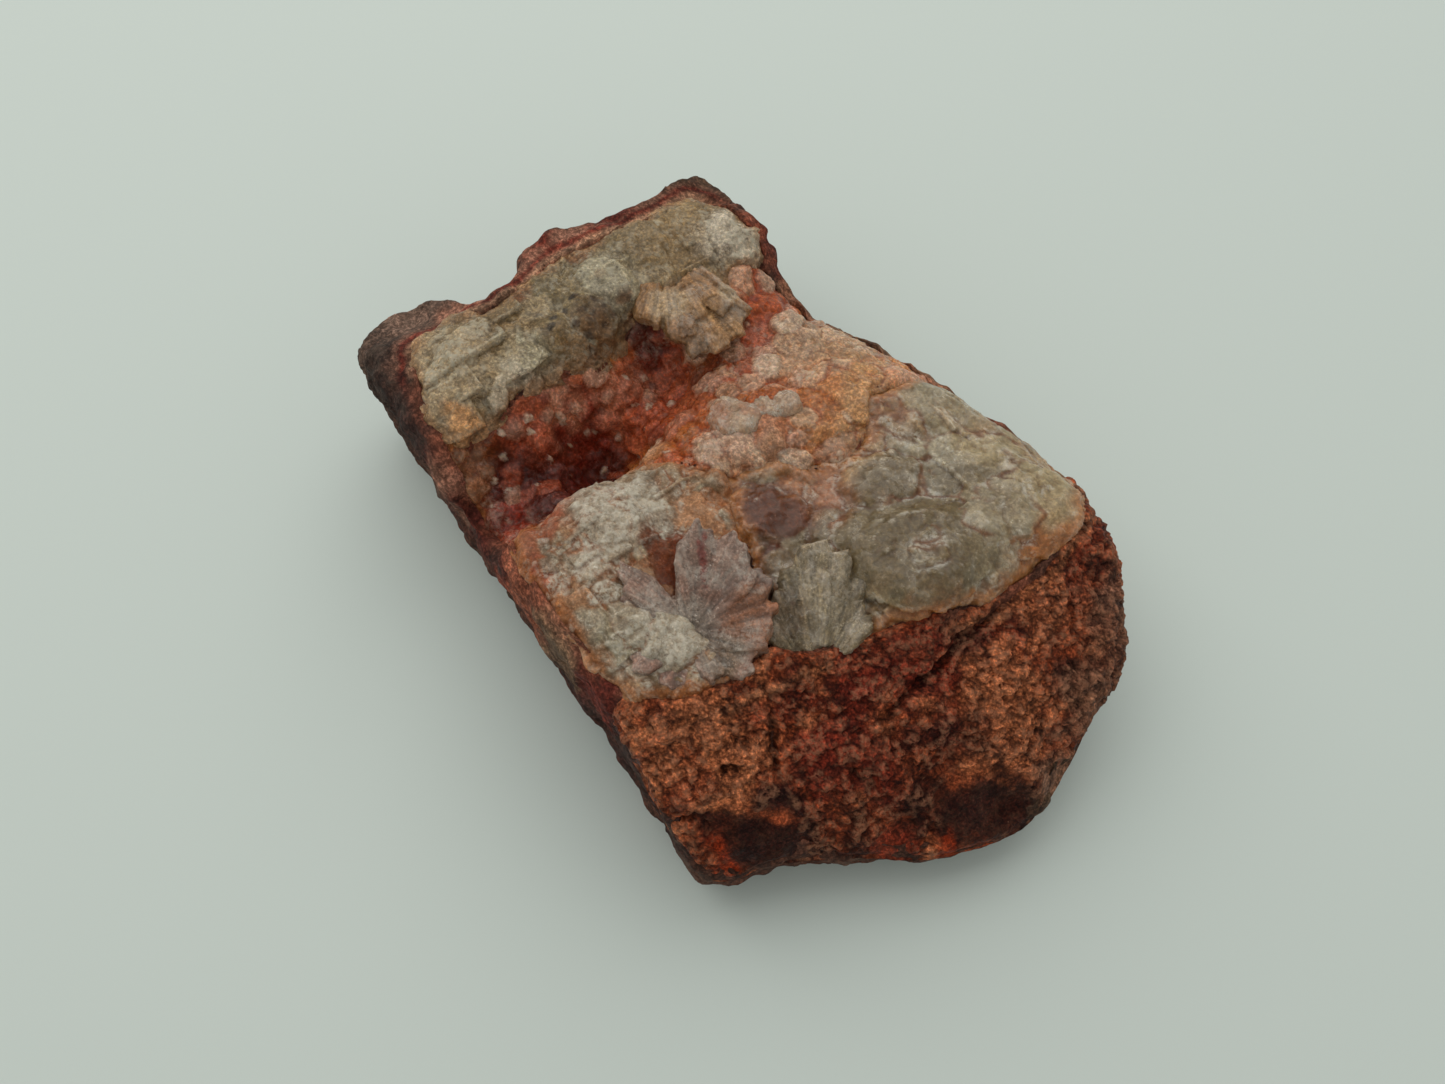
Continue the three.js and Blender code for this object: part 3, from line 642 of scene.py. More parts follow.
# Granular hematite quartz: sugary orange-brown grains in dark red, slightly glassy.
slopeLook = {
    "paintedHighlight": "#d8a688", "cloudSize": 5, "cloud": 0.25, "speckSize": 0.55, "speck": 0.34,
    "fineSize": 0.45, "fine": 0.68, "veilSize": 3, "veil": 0.1, "frostSize": 0.7,
    "frostColour": "#b47e60", "gloss": (0.35, 0.65), "shine": 0.07, "glow": 0.1,
    "glowRadius": (1, 0.35, 0.2), "glowDepth": 0.5, "bumpSize": 0.7, "bump": 0.8, "bumpDepth": 0.4,
    "facetSize": 1.3, "facetTilt": 0.35, "paintedGlints": 0.5, "lines": 0.15, "cracks": 0.5, "dirt": 0.5,
    "dirtColour": "#220e0c",
}
slope = {
    "step": 0.28,
    "grain": (1.3, 0.8),  # size and height
    "smallGrain": (0.7, 0.4), "swells": (7, 0.9), "clods": (2.4, 0.5), "thick": 2.6,
    "crest": [  # y and x of the slope's upper edge
        (-44, 20), (-34, 21.5), (-24, 25), (-14, 28), (-6, 31), (4, 35), (14, 37), (24, 37),
        (34, 33), (44, 28),
    ],
    "base": "grain",
    "palette": {
        "grain": "#984727", "orange": "#ce7a4e", "red": "#802a1b", "deep": "#481a15",
        "purple": "#270e0b", "grey": "#765b48", "fire": "#8e2e10", "gap": "#220a08",
        "salt": "#be845a",
    },
    "marks": [  # tone, x, y, radius, strength
        ("red", 32, -8, 5, 0.8), ("red", 37, 0, 5, 0.8), ("red", 37, -18, 3, 0.5),
        ("orange", 27.6, -30.4, 7, 0.9), ("red", 39.5, -15, 6.5, 0.8), ("orange", 50, 6, 7, 0.7),
        ("orange", 45, 8, 5, 0.6), ("purple", 37, -34, 3.6, 0.9), ("purple", 40.5, -30.6, 4, 0.95),
        ("purple", 44.4, -27, 3.6, 0.9), ("purple", 50.4, -9.4, 4, 0.8),
        ("purple", 55.6, -5.6, 5, 0.95), ("purple", 58.6, 0.6, 4.6, 0.95), ("red", 52, -16, 4, 0.7),
        ("purple", 49, -21, 3.4, 0.7), ("grey", 54, 20, 6, 0.7), ("grey", 47, 29, 5, 0.6),
        ("deep", 38.6, 8, 2.4, 0.7), ("grey", 61, 9, 5, 0.8), ("fire", 40, -38, 3, 0.9),
        ("fire", 58.6, -9.4, 2, 0.7), ("orange", 40, 19, 5, 0.6), ("deep", 46, -1, 4, 0.5),
        ("fire", 29, -35, 3, 0.5),
    ],
    # tone, middle and half width below the crystals, strength
    "bands": [("salt", 0.8, 1.5, 0.5), ("red", 3.4, 2.6, 0.6)],
    "smooth": [  # x, y, radius of worn patches
        (38, -34, 4), (42, -30, 4.4), (56, -5, 6), (58, 2, 4), (52, -15, 3.4), (61, 9, 4),
    ],
    "cuts": [  # from x, y to x, y, half width, depth
        (36, 25, 37.5, 6, 0.6, 1.4), (37.5, 6, 39, -9, 0.6, 1.2), (28, -20.5, 35, -25, 0.5, 1.6),
        (29.2, -27.6, 30.4, -27, 0.7, 1.6), (42.4, -16, 44, -14.6, 0.7, 1.6),
        (31.4, -31, 32.2, -30, 0.6, 1.5),
    ],
}
crestX = np.interp(gridY, *np.array(slope["crest"]).T)[:, None]
slopeMask = solid & (gridX[None, :] > crestX - 5) & (label == 0)
gritDepth = np.minimum(depthField(slopeMask), lumpDepth - 0.2)


def makeSlope():
    palette = slope["palette"]
    sheet = openSheet(slope["step"], gritDepth, 0.9)
    shape = sheet["depth"].shape
    foot = sheet["foot"].reshape(-1, 3)
    edge = fade((sheet["depth"].ravel() + 0.6) / 1.6)
    drift = 1.5 * rough(foot, 4, 2, 200)
    worn = np.max([fade((1.2 - (np.hypot(foot[:, 0] - x, foot[:, 1] - y) + drift) / radius) / 0.4)
                   for x, y, radius in slope["smooth"]], axis=0)
    cut = np.zeros(len(foot))
    for x0, y0, x1, y1, half, deep in slope["cuts"]:
        run = np.array([x1 - x0, y1 - y0])
        t = np.clip(((foot[:, :2] - [x0, y0]) @ run) / (run @ run), 0, 1)
        near = foot[:, :2] - [x0, y0] - t[:, None] * run
        away = np.hypot(near[:, 0], near[:, 1]) + 0.5 * rough(foot, 2, 2, 210)
        cut = np.maximum(cut, deep * fade(1 - away / (1.6 * half)))
    (grain, high), (smallGrain, smallHigh) = slope["grain"], slope["smallGrain"]
    big, gap, own = bumps(foot + 0.45 * shaken(foot, 1.4, 3, 220), grain, 230)
    small, smallGap, _ = bumps(foot, smallGrain, 240)
    loose = 1 - 0.85 * worn
    relief = loose * (high * (big * (0.6 + 0.8 * own) - 0.4) + smallHigh * (small - 0.5))
    relief += slope["swells"][1] * rough(foot, slope["swells"][0], 2, 250)
    relief += loose * slope["clods"][1] * rough(foot, slope["clods"][0], 2, 260) - cut
    relief = np.maximum(relief, -1.6)
    lift = (edge * (0.25 + relief) - 1.1 * (1 - edge)).reshape(shape)
    piece, used = closedSheet("granular_slope", sheet, sheet["depth"] > -0.9, lift, slope["thick"])

    tint = np.tile(linearColour(palette[slope["base"]]), (len(foot), 1))
    upper = np.interp(foot[:, 1], *np.array(slope["crest"]).T)
    below = foot[:, 0] - upper + 1.2 * rough(foot, 3, 3, 290)
    for tone, near, wide, strength in slope["bands"]:
        stain(tint, palette[tone], strength * fade(1 - np.abs(below - near) / wide))
    streak = rough(foot, 5, 4, 280)
    for tone, way in (("orange", 1), ("deep", -1)):
        stain(tint, palette[tone], 0.8 * loose * fade((way * streak - 0.1) / 0.7))
    tint = painted(foot, palette, tint, slope["marks"], 2.5, 270)
    tint *= (0.55 + 0.95 * own * loose + 0.4 * (1 - loose))[:, None]
    # Dark red between grains, partly the rock's own colour and partly painted shade, deepest in the
    # cuts.
    hollows = fade(-0.9 * rough(foot, 2.2, 3, 295))
    dark = np.clip(1 - gap * (0.3 + 0.7 * smallGap), 0, 1) * (0.7 + 0.3 * hollows) * loose
    stain(tint, palette["gap"], np.clip(dark + 0.35 * fade(cut), 0, 0.9))
    # Painted highlight on the tops of the larger grains, carried as frost.
    frost = fade((big - 0.45) / 0.4) * fade((own - 0.35) / 0.4) * loose * 0.5
    tint, frost = tint[used.ravel()], frost[used.ravel()]
    setTint(piece.data, np.concatenate([tint, tint]))
    setAttribute(piece.data, "frost", np.concatenate([frost, frost]))
    finished(piece, stoneMaterial("granular hematite quartz", slopeLook))


def everywhere(x, y):
    return True


def onRidge(x, y):  # all but the hollow
    return x >= -17 or y >= 4


# Smoky quartz: grey-green, cloudy, light soaks in a few millimetres; faint gloss on the faces.
smokyLook = {
    "paintedHighlight": "#e6e0d2", "cloudSize": 4, "cloud": 0.1, "speckSize": 0.7, "speck": 0.1,
    "fineSize": 0.5, "fine": 0.24, "veilSize": 4, "veil": 0.3, "frostSize": 0.9,
    "frostColour": "#d6d0c2", "gloss": (0.12, 0.4), "shine": 0.34, "glow": 0.7,
    "glowRadius": (1, 0.8, 0.55), "glowDepth": 1.6, "clear": 0.1, "bumpSize": 0.9, "bump": 0.35,
    "facetSize": 2.4, "facetTilt": 0.3, "paintedGlints": 0.7, "lines": 0.2, "cracks": 0.5, "dirt": 0.4,
    "dirtColour": "#6a4f36",
}
smoky = {
    "node": "smoky_bed", "slot": "smoky_crystal", "seed": 31, "step": 0.24, "reach": 1.3,
    "thick": 3, "base": "grey", "material": "smoky quartz", "floor": -0.05, "relief": 0.14,
    "stand": 0.4,  # share of the heights below that stands proud
    "grit": 0.05, "rim": 0.6, "slant": 0.12, "gapShare": 0.75,
    "bare": [(8.4, -3.2, 4)],  # x, y, radius kept free of frost
    # tone and its share of the small crystals
    "tones": [("light", 0.14), ("dusk", 0.1), ("pale", 0.1)],
    "sink": (0.14, 0.22, 0.3),  # painted shade: red, green and blue that low places lose
    "crusts": [(6.4, 8.6, 1.4), (1.5, 8.4, 1.2)],  # x, y, radius of sugary frost
    "chips": [  # x, y, width, breadth, turn in degrees, tone
        (22.9, 0.9, 2.2, 3.6, 10, "white"), (33.2, 10.2, 1.8, 2.6, 40, "white"),
        (13.8, 7.8, 2.2, 2.2, 0, "white"), (29.2, -2.2, 1.6, 3.4, 50, "white"),
        (34.4, 7.8, 1.4, 2, 10, "white"), (24.6, -2, 1.6, 1.6, 30, "light"),
        (26.8, 12, 1.4, 2, 20, "white"), (30.4, 22.6, 1.6, 2.4, 60, "white"),
        (18.6, 13.6, 1.2, 1.8, 80, "light"), (20.6, 25.4, 1.6, 2.2, 25, "white"),
        (9, 29.6, 2, 2.6, 10, "white"), (7.2, 20, 1.6, 1.8, 45, "white"),
        (15.2, -9.6, 1.6, 1.8, 45, "tan"),
    ],
    "palette": {
        "gap": "#74401f", "grey": "#756447", "light": "#897a5f", "pale": "#908061",
        "white": "#c4bba5", "brown": "#5c2f16", "pink": "#8c5836", "dusk": "#76654b",
        "tan": "#a3906c", "peach": "#b0906c", "orange": "#a66a3a", "rust": "#74341e",
    },
    "placed": [  # x, y, width, breadth, height, turn in degrees, habit, tone
        (25.6, 7.6, 13.4, 11.4, 2.2, 24, "flush", "grey"),
        (13.6, 12.6, 7.2, 8, 1.9, 50, "flush", "dusk"),
        (18.4, 17.6, 8.4, 7.4, 1.5, 12, "flush", "light"),
        (25.6, 22.4, 8, 7, 2.4, 8, "flush", "light"),
        (30.8, 16.6, 7.6, 9.4, 1.8, 35, "flush", "light"),
        (29, 28.6, 10, 7.4, 1.1, 20, "flush", "tan"),
        (9.4, 24.2, 9.8, 11.6, 1.2, 28, "flush", "pale"), (17, 29, 9, 9, 1.1, 0, "flush", "tan"),
        (16.8, 2.8, 8.4, 7.4, 1.6, 42, "flush", "dusk"),
        (8.4, -3.2, 8, 6.4, 1.5, 55, "flush", "brown"),
        (22.9, 0.6, 3.2, 4.6, 2.4, 10, "block", "white"),
        (10.4, 5, 8.6, 5, 1.2, 30, "flush", "pink"), (24.2, -3.4, 5.6, 5, 1.3, 20, "flush", "dusk"),
        (13.8, 7.8, 3.4, 3.2, 2.0, 0, "point", "white"),
        (33.4, 9.6, 3.6, 2.8, 2.2, 40, "block", "white"),
        (29.2, -2.2, 4.6, 3, 1.6, 20, "flush", "light"),
        (19.8, 9.4, 5.4, 5, 1.2, 60, "flush", "grey"), (21, 35, 9, 6, 0.9, 5, "flush", "peach"),
        (30.4, 23.6, 5.4, 5, 1.6, 30, "flush", "tan"),
        (34, 21.4, 4, 4.4, 1.2, 15, "flush", "peach"),
        (22.6, 14.4, 4.6, 4, 1.6, 33, "flush", "grey"),
        (5.2, 0.6, 5.6, 4.6, 1.0, 20, "flush", "orange"),
        (19.6, -3.2, 4.6, 5, 1.0, 10, "flush", "dusk"),
        (12.6, -7.6, 4, 4.6, 0.8, 10, "flush", "brown"),
        (33.2, 4.2, 5, 4.4, 1.0, 30, "flush", "orange"),
    ],
    "scatter": [  # smallest, largest, tries, where
        (4, 6.2, 300, everywhere), (2.4, 3.8, 300, everywhere), (1.3, 2.0, 100, everywhere),
    ],
    "habits": ["flush", "flush", "shard"],
    "facets": [(3.6, 0.15), (1.5, 0.07)],  # size and height of broken faces
    "swells": (5, 0.15),  # size and height
    "seam": ("orange", 0.75, 2.4),  # tone, strength and width along the edge
    "frostAmount": 0.3, "spread": 0.24,
    "own": 0.85,  # how far a crystal keeps its own tone
    "marks": [  # tone, x, y, radius, strength
        ("light", 27, 22, 6, 0.7), ("pale", 10, 25, 7, 0.8), ("tan", 28, 32, 8, 0.9),
        ("peach", 22, 36, 5, 0.7), ("peach", 34, 25, 4, 0.8), ("orange", 33, 3, 3.4, 0.8),
        ("orange", 30, -5, 3.4, 0.7), ("rust", 19, -9, 4, 0.7), ("orange", 4.4, 1.4, 3.4, 0.7),
        ("rust", 13, -8.6, 3, 0.8), ("pink", 9, 3, 6, 0.7), ("peach", 5, 12, 5, 0.8),
        ("peach", 29, 1.4, 4, 0.7), ("peach", 6, 20, 4, 0.7), ("brown", 5, -5, 4, 0.9),
        ("brown", 12, -3, 3, 0.6), ("peach", 12, 30, 5, 0.6), ("brown", 20, -4, 2.4, 0.5),
        ("tan", 34, 14, 3, 0.6), ("orange", 26, -8, 3, 0.8), ("light", 31.2, 16.4, 5, 0.8),
        ("white", 12.6, 23.6, 4, 0.3), ("light", 24, 24, 5, 0.6), ("orange", 34.7, 25, 4, 0.9),
        ("peach", 33.6, 31.7, 4, 0.8), ("rust", 37.3, 30.2, 3.6, 0.9),
        ("orange", 34.4, 19.6, 2.6, 0.8), ("orange", 35.8, 14.6, 2.4, 0.85),
        ("orange", 35.8, 9.8, 2.4, 0.8), ("rust", 34.6, 4, 2.4, 0.7),
        ("orange", 32.7, -1.5, 2.6, 0.8), ("tan", 29, -0.4, 3, 0.6), ("rust", 30.9, -7, 2.4, 0.8),
        ("pale", 28.9, 2.4, 2.4, 0.8),
    ],
}

# Hematite-stained druse: red to orange glassy quartz, frosted only on its tips.
druseLook = {
    "paintedHighlight": "#ecd8c4", "cloudSize": 3.5, "cloud": 0.15, "speckSize": 0.6, "speck": 0.12,
    "fineSize": 0.5, "fine": 0.44, "veilSize": 3.5, "veil": 0.06, "frostSize": 0.8,
    "frostColour": "#c4ae98", "gloss": (0.08, 0.35), "shine": 0.2, "glow": 0.6,
    "glowRadius": (1, 0.5, 0.3), "glowDepth": 1.3, "clear": 0.05, "bumpSize": 0.8, "bump": 0.4,
    "facetSize": 2, "facetTilt": 0.35, "paintedGlints": 0.8, "lines": 0.3, "cracks": 0.4, "dirt": 0.3,
    "dirtColour": "#5a2a1c",
}
druse = {
    "node": "druse_lining", "slot": "red_druse", "seed": 17, "step": 0.26, "reach": 1.3,
    "thick": 2.6, "base": "orange", "material": "hematite-stained quartz druse", "floor": -0.1,
    "relief": 0.22, "stand": 0.55, "rim": 0.45, "slant": 0.14, "gapShare": 0.6,
    "tones": [("peach", 0.34), ("blush", 0.14), ("rose", 0.12), ("white", 0.08)],
    "innerTones": [("red", 0.1), ("dim", 0.18), ("rose", 0.04), ("wine", 0.1)],
    "bare": [
        (-25, -18, 13), (-22, -4, 8), (-25, 20, 5), (-16.5, -4.5, 3), (-13.6, 25.9, 3.5),
    ],
    "grit": 0.12, "sink": (0.05, 0.2, 0.32),
    "crusts": [(-8.6, 14.6, 1.2), (6.8, 9.2, 1.2), (-6.4, -4.8, 1.6), (0.6, -2.6, 1.5)],
    "chips": [
        (-19.6, 19.4, 3, 2.6, 10, "white"), (-14.3, 12, 2.4, 3, 20, "white"),
        (-18.6, 3.4, 1.8, 3.4, 60, "white"), (-8.6, 13.6, 2, 1.8, 30, "white"),
        (2.6, 4, 2.6, 2, 15, "white"), (-16, 17, 1.6, 2, 50, "rose"),
        (-12, 27, 1.8, 2.2, 0, "white"), (-3.4, -10.2, 1.6, 2.2, 30, "olive"),
        (-5.4, 5.6, 2, 2.6, 40, "white"), (-28, -9.6, 1.2, 1.4, 0, "rose"),
        (-30, -24.8, 1.8, 1.6, 0, "rose"), (-30, -19.8, 1.2, 1.2, 20, "rose"),
        (-27.4, -25.4, 1.6, 1.6, 30, "dim"), (-25.2, -30.6, 1.2, 1.2, 30, "dim"),
        (-25.4, -3.6, 1.4, 1.6, 10, "rose"), (-29.2, -17.4, 1.3, 1.2, 0, "white"),
        (-30.2, -22.4, 1.4, 1.2, 30, "white"), (-28.6, -28.6, 1.5, 1.3, 10, "white"),
        (-26.2, -22.6, 1.3, 1.2, 0, "dim"), (-23.6, -26.2, 1.2, 1.1, 0, "dim"),
        (-27.2, -13.2, 1.4, 1.2, 45, "white"), (-28.8, -5.6, 1.6, 1.4, 20, "white"),
        (-22.4, -9.4, 1.3, 1.4, 0, "rose"), (-26.6, -0.4, 1.5, 1.3, 0, "white"),
        (-23.4, -14.6, 1.2, 1.1, 0, "dim"), (-24.2, -34.4, 1.4, 1.3, 0, "dim"),
        (-14.2, -14.6, 2.2, 1.8, 25, "white"), (-24, -20.4, 1, 1, 0, "dim"),
        (8.6, 30.8, 2, 2, 0, "white"), (-1.6, 5.8, 1.4, 1.8, 20, "white"),
        (-11.4, -9.4, 1.6, 1.4, 0, "rose"),
    ],
    "palette": {
        "blush": "#bd856b", "dim": "#6c3a31", "gap": "#7c3420", "orange": "#a25f2d",
        "fire": "#97451d", "peach": "#aa8c70", "honey": "#b0855a", "white": "#baa891",
        "rose": "#a5836d", "red": "#a45237", "blood": "#863424", "wine": "#481815",
        "night": "#5a211a", "brown": "#81563a", "olive": "#a8936d",
    },
    "placed": [
        (-14.8, 18.4, 8.3, 7.6, 1.87, 20, "block", "peach"),
        (-19.2, 19.6, 5.2, 4.7, 1.87, 0, "block", "white"),
        (-13.2, 25.6, 8.3, 6.6, 1.19, 35, "block", "peach"),
        (-14.4, 11.8, 5.2, 5, 1.87, 15, "block", "white"),
        (-9.2, 14.2, 4.5, 4.2, 1.7, 40, "block", "rose"),
        (-18.6, 3.4, 6.4, 3.3, 1.19, 50, "block", "rose"),
        (-2.8, 25.4, 11.3, 10.1, 0.94, 15, "lump", "honey"),
        (3.4, 20.4, 8.3, 7.1, 0.94, 50, "lump", "honey"),
        (-8.8, 20.6, 7.8, 6.4, 1.1, 50, "block", "honey"),
        (3.6, 10, 8.7, 7.6, 1.36, 30, "lump", "rose"),
        (-5.8, -4.6, 6.8, 5.7, 1.61, 20, "block", "white"),
        (-0.2, -2.6, 5.9, 4.5, 1.44, 10, "block", "white"),
        (2.4, 3.8, 5.9, 4.7, 1.44, 30, "block", "white"),
        (0, 6.2, 2.8, 3.1, 1.7, 12, "block", "rose"),
        (-4.8, -10.6, 5.4, 4, 1.1, 0, "block", "olive"), (-24, 20, 6, 4.8, 1.3, 25, "lump", "fire"),
        (-14.3, -14.4, 4.7, 4.5, 1.27, 0, "lump", "rose"),
        (-30, -25, 3.8, 3.4, 1.4, 0, "lump", "rose"),
        (-29.8, -19.6, 2.8, 2.6, 1.3, 0, "lump", "rose"),
        (-29.4, -14.4, 2.8, 2.4, 1.3, 30, "lump", "rose"),
        (-28.2, -9.4, 3, 2.6, 1.3, 10, "lump", "rose"),
        (-25.6, -3.4, 3.2, 2.8, 1.3, 0, "lump", "rose"),
        (-27.4, -25.2, 3, 2.8, 1.3, 0, "lump", "wine"),
        (-25.2, -32.6, 3, 2.8, 1.3, 0, "lump", "wine"),
        (-12.4, -4.4, 5.4, 4.5, 1.1, 0, "block", "orange"),
        (-11, 5, 5.4, 4.5, 0.94, 30, "block", "orange"),
        (-10.4, -10.6, 5.4, 4.2, 1.02, 30, "lump", "red"),
        (-20.4, 13.4, 4.4, 4, 1.4, 10, "block", "red"),
        (-4.2, 12.4, 7.1, 5.9, 1.1, 22, "lump", "orange"),
        (-2, 17.4, 7.1, 6.4, 1.02, 70, "lump", "honey"),
        (-22.6, 26.2, 4.4, 4, 1.2, 0, "block", "rose"),
        (-16.8, 13.4, 4.2, 4, 1.36, 25, "block", "rose"),
        (-9.6, 9.4, 4.5, 4.2, 1.19, 10, "block", "rose"),
        (-13.6, 8, 4.5, 4, 1.1, 40, "block", "peach"),
        (-7.8, 27.6, 5.9, 5.4, 1.02, 20, "block", "peach"),
        (-1.8, 31, 5.4, 4.7, 0.94, 0, "block", "peach"),
        (-13.8, 1.6, 4.2, 3.8, 1.1, 30, "block", "rose"),
        (-2.4, 9, 4.2, 4, 1.19, 15, "block", "peach"),
    ],
    "scatter": [
        (4.6, 7, 500, onRidge), (2.2, 3.4, 900, everywhere), (1.3, 1.9, 500, everywhere),
    ],
    "habits": ["flush", "lump", "flush"],
    "sparks": [  # small bright tips in the hollow, frosted white as painted glints: x, y, size, tone
        (-28.1, -9.5, 1.3, "white"), (-24.3, -4.4, 1.5, "rose"), (-29.1, -23, 1.3, "white"),
        (-28.2, -20.1, 1.4, "rose"), (-27.3, -25.1, 1.2, "rose"), (-30.6, -27, 1.3, "white"),
        (-28.6, -14.5, 1.2, "rose"), (-24.1, -22.6, 1.3, "dim"), (-26.9, -31.7, 1.2, "rose"),
        (-24.5, -10.4, 1.1, "rose"), (-27.2, -18.1, 1.1, "white"), (-24.6, -27.9, 1.3, "dim"),
        (-24.7, -32.7, 1.2, "dim"), (-27.4, -14.5, 1.1, "white"), (-28.3, -32.2, 1.2, "rose"),
        (-26.5, -10.4, 1.2, "white"), (-20.6, -30.1, 1.1, "dim"), (-25.8, -6.2, 1.2, "rose"),
        (-29.6, -17.6, 1.2, "rose"), (-22.4, -1.6, 1.3, "rose"), (-19.4, -9.6, 1.2, "rose"),
        (-21.6, -6.6, 1.2, "white"), (-28.6, -2.4, 1.3, "rose"),
    ],
    "facets": [(2.8, 0.12), (1.3, 0.07)], "swells": (4, 0.2), "seam": ("brown", 0.3, 0.4),
    "frostAmount": 0.3, "spread": 0.24, "own": 0.62,
    "marks": [
        ("wine", -21.4, -26.4, 10.5, 0.97), ("night", -26, -17, 7, 0.85),
        ("blood", -27, -16, 3, 0.4), ("blood", -29.9, 1, 3, 0.4), ("blood", -28.5, -14, 4.5, 0.8),
        ("red", -24, -6, 6, 0.85), ("red", -27, 0, 5, 0.8), ("blush", -30.6, -16, 3.4, 0.95),
        ("blush", -30, -21, 3, 0.8), ("blush", -28.6, -9, 3.2, 0.5), ("blush", -27, -3, 2.6, 0.6),
        ("red", -20, -2, 5, 0.7), ("red", -30, -24, 4.5, 0.8), ("blood", -17, 8, 6, 0.6),
        ("fire", -9, -4, 6, 0.7), ("fire", -4, 3, 6, 0.7), ("honey", -1, 12, 6, 0.6),
        ("peach", -15, 18, 6, 0.7), ("honey", -3, 22, 8, 0.85), ("peach", -13, 26, 6, 0.8),
        ("fire", -26, 20, 6, 0.9), ("fire", -16.5, -4.5, 3.4, 0.9), ("peach", -0.6, 1.6, 3, 0.6),
        ("red", -21, 13, 4, 0.7), ("orange", -6, 14, 5, 0.6), ("red", -14, -20, 4, 0.8),
        ("olive", 3, 28, 4, 0.8), ("blood", -20, -34, 5, 0.8), ("brown", -29, -34.6, 3, 0.9),
        ("night", -31, 1, 2.4, 0.9), ("fire", -6.5, -2.4, 2.6, 0.9), ("fire", 0.5, 0.6, 2.6, 0.35),
        ("peach", -0.6, 1.4, 2.4, 0.5), ("honey", 6, 24, 5, 0.8), ("honey", 4, 15, 4, 0.7),
    ],
}

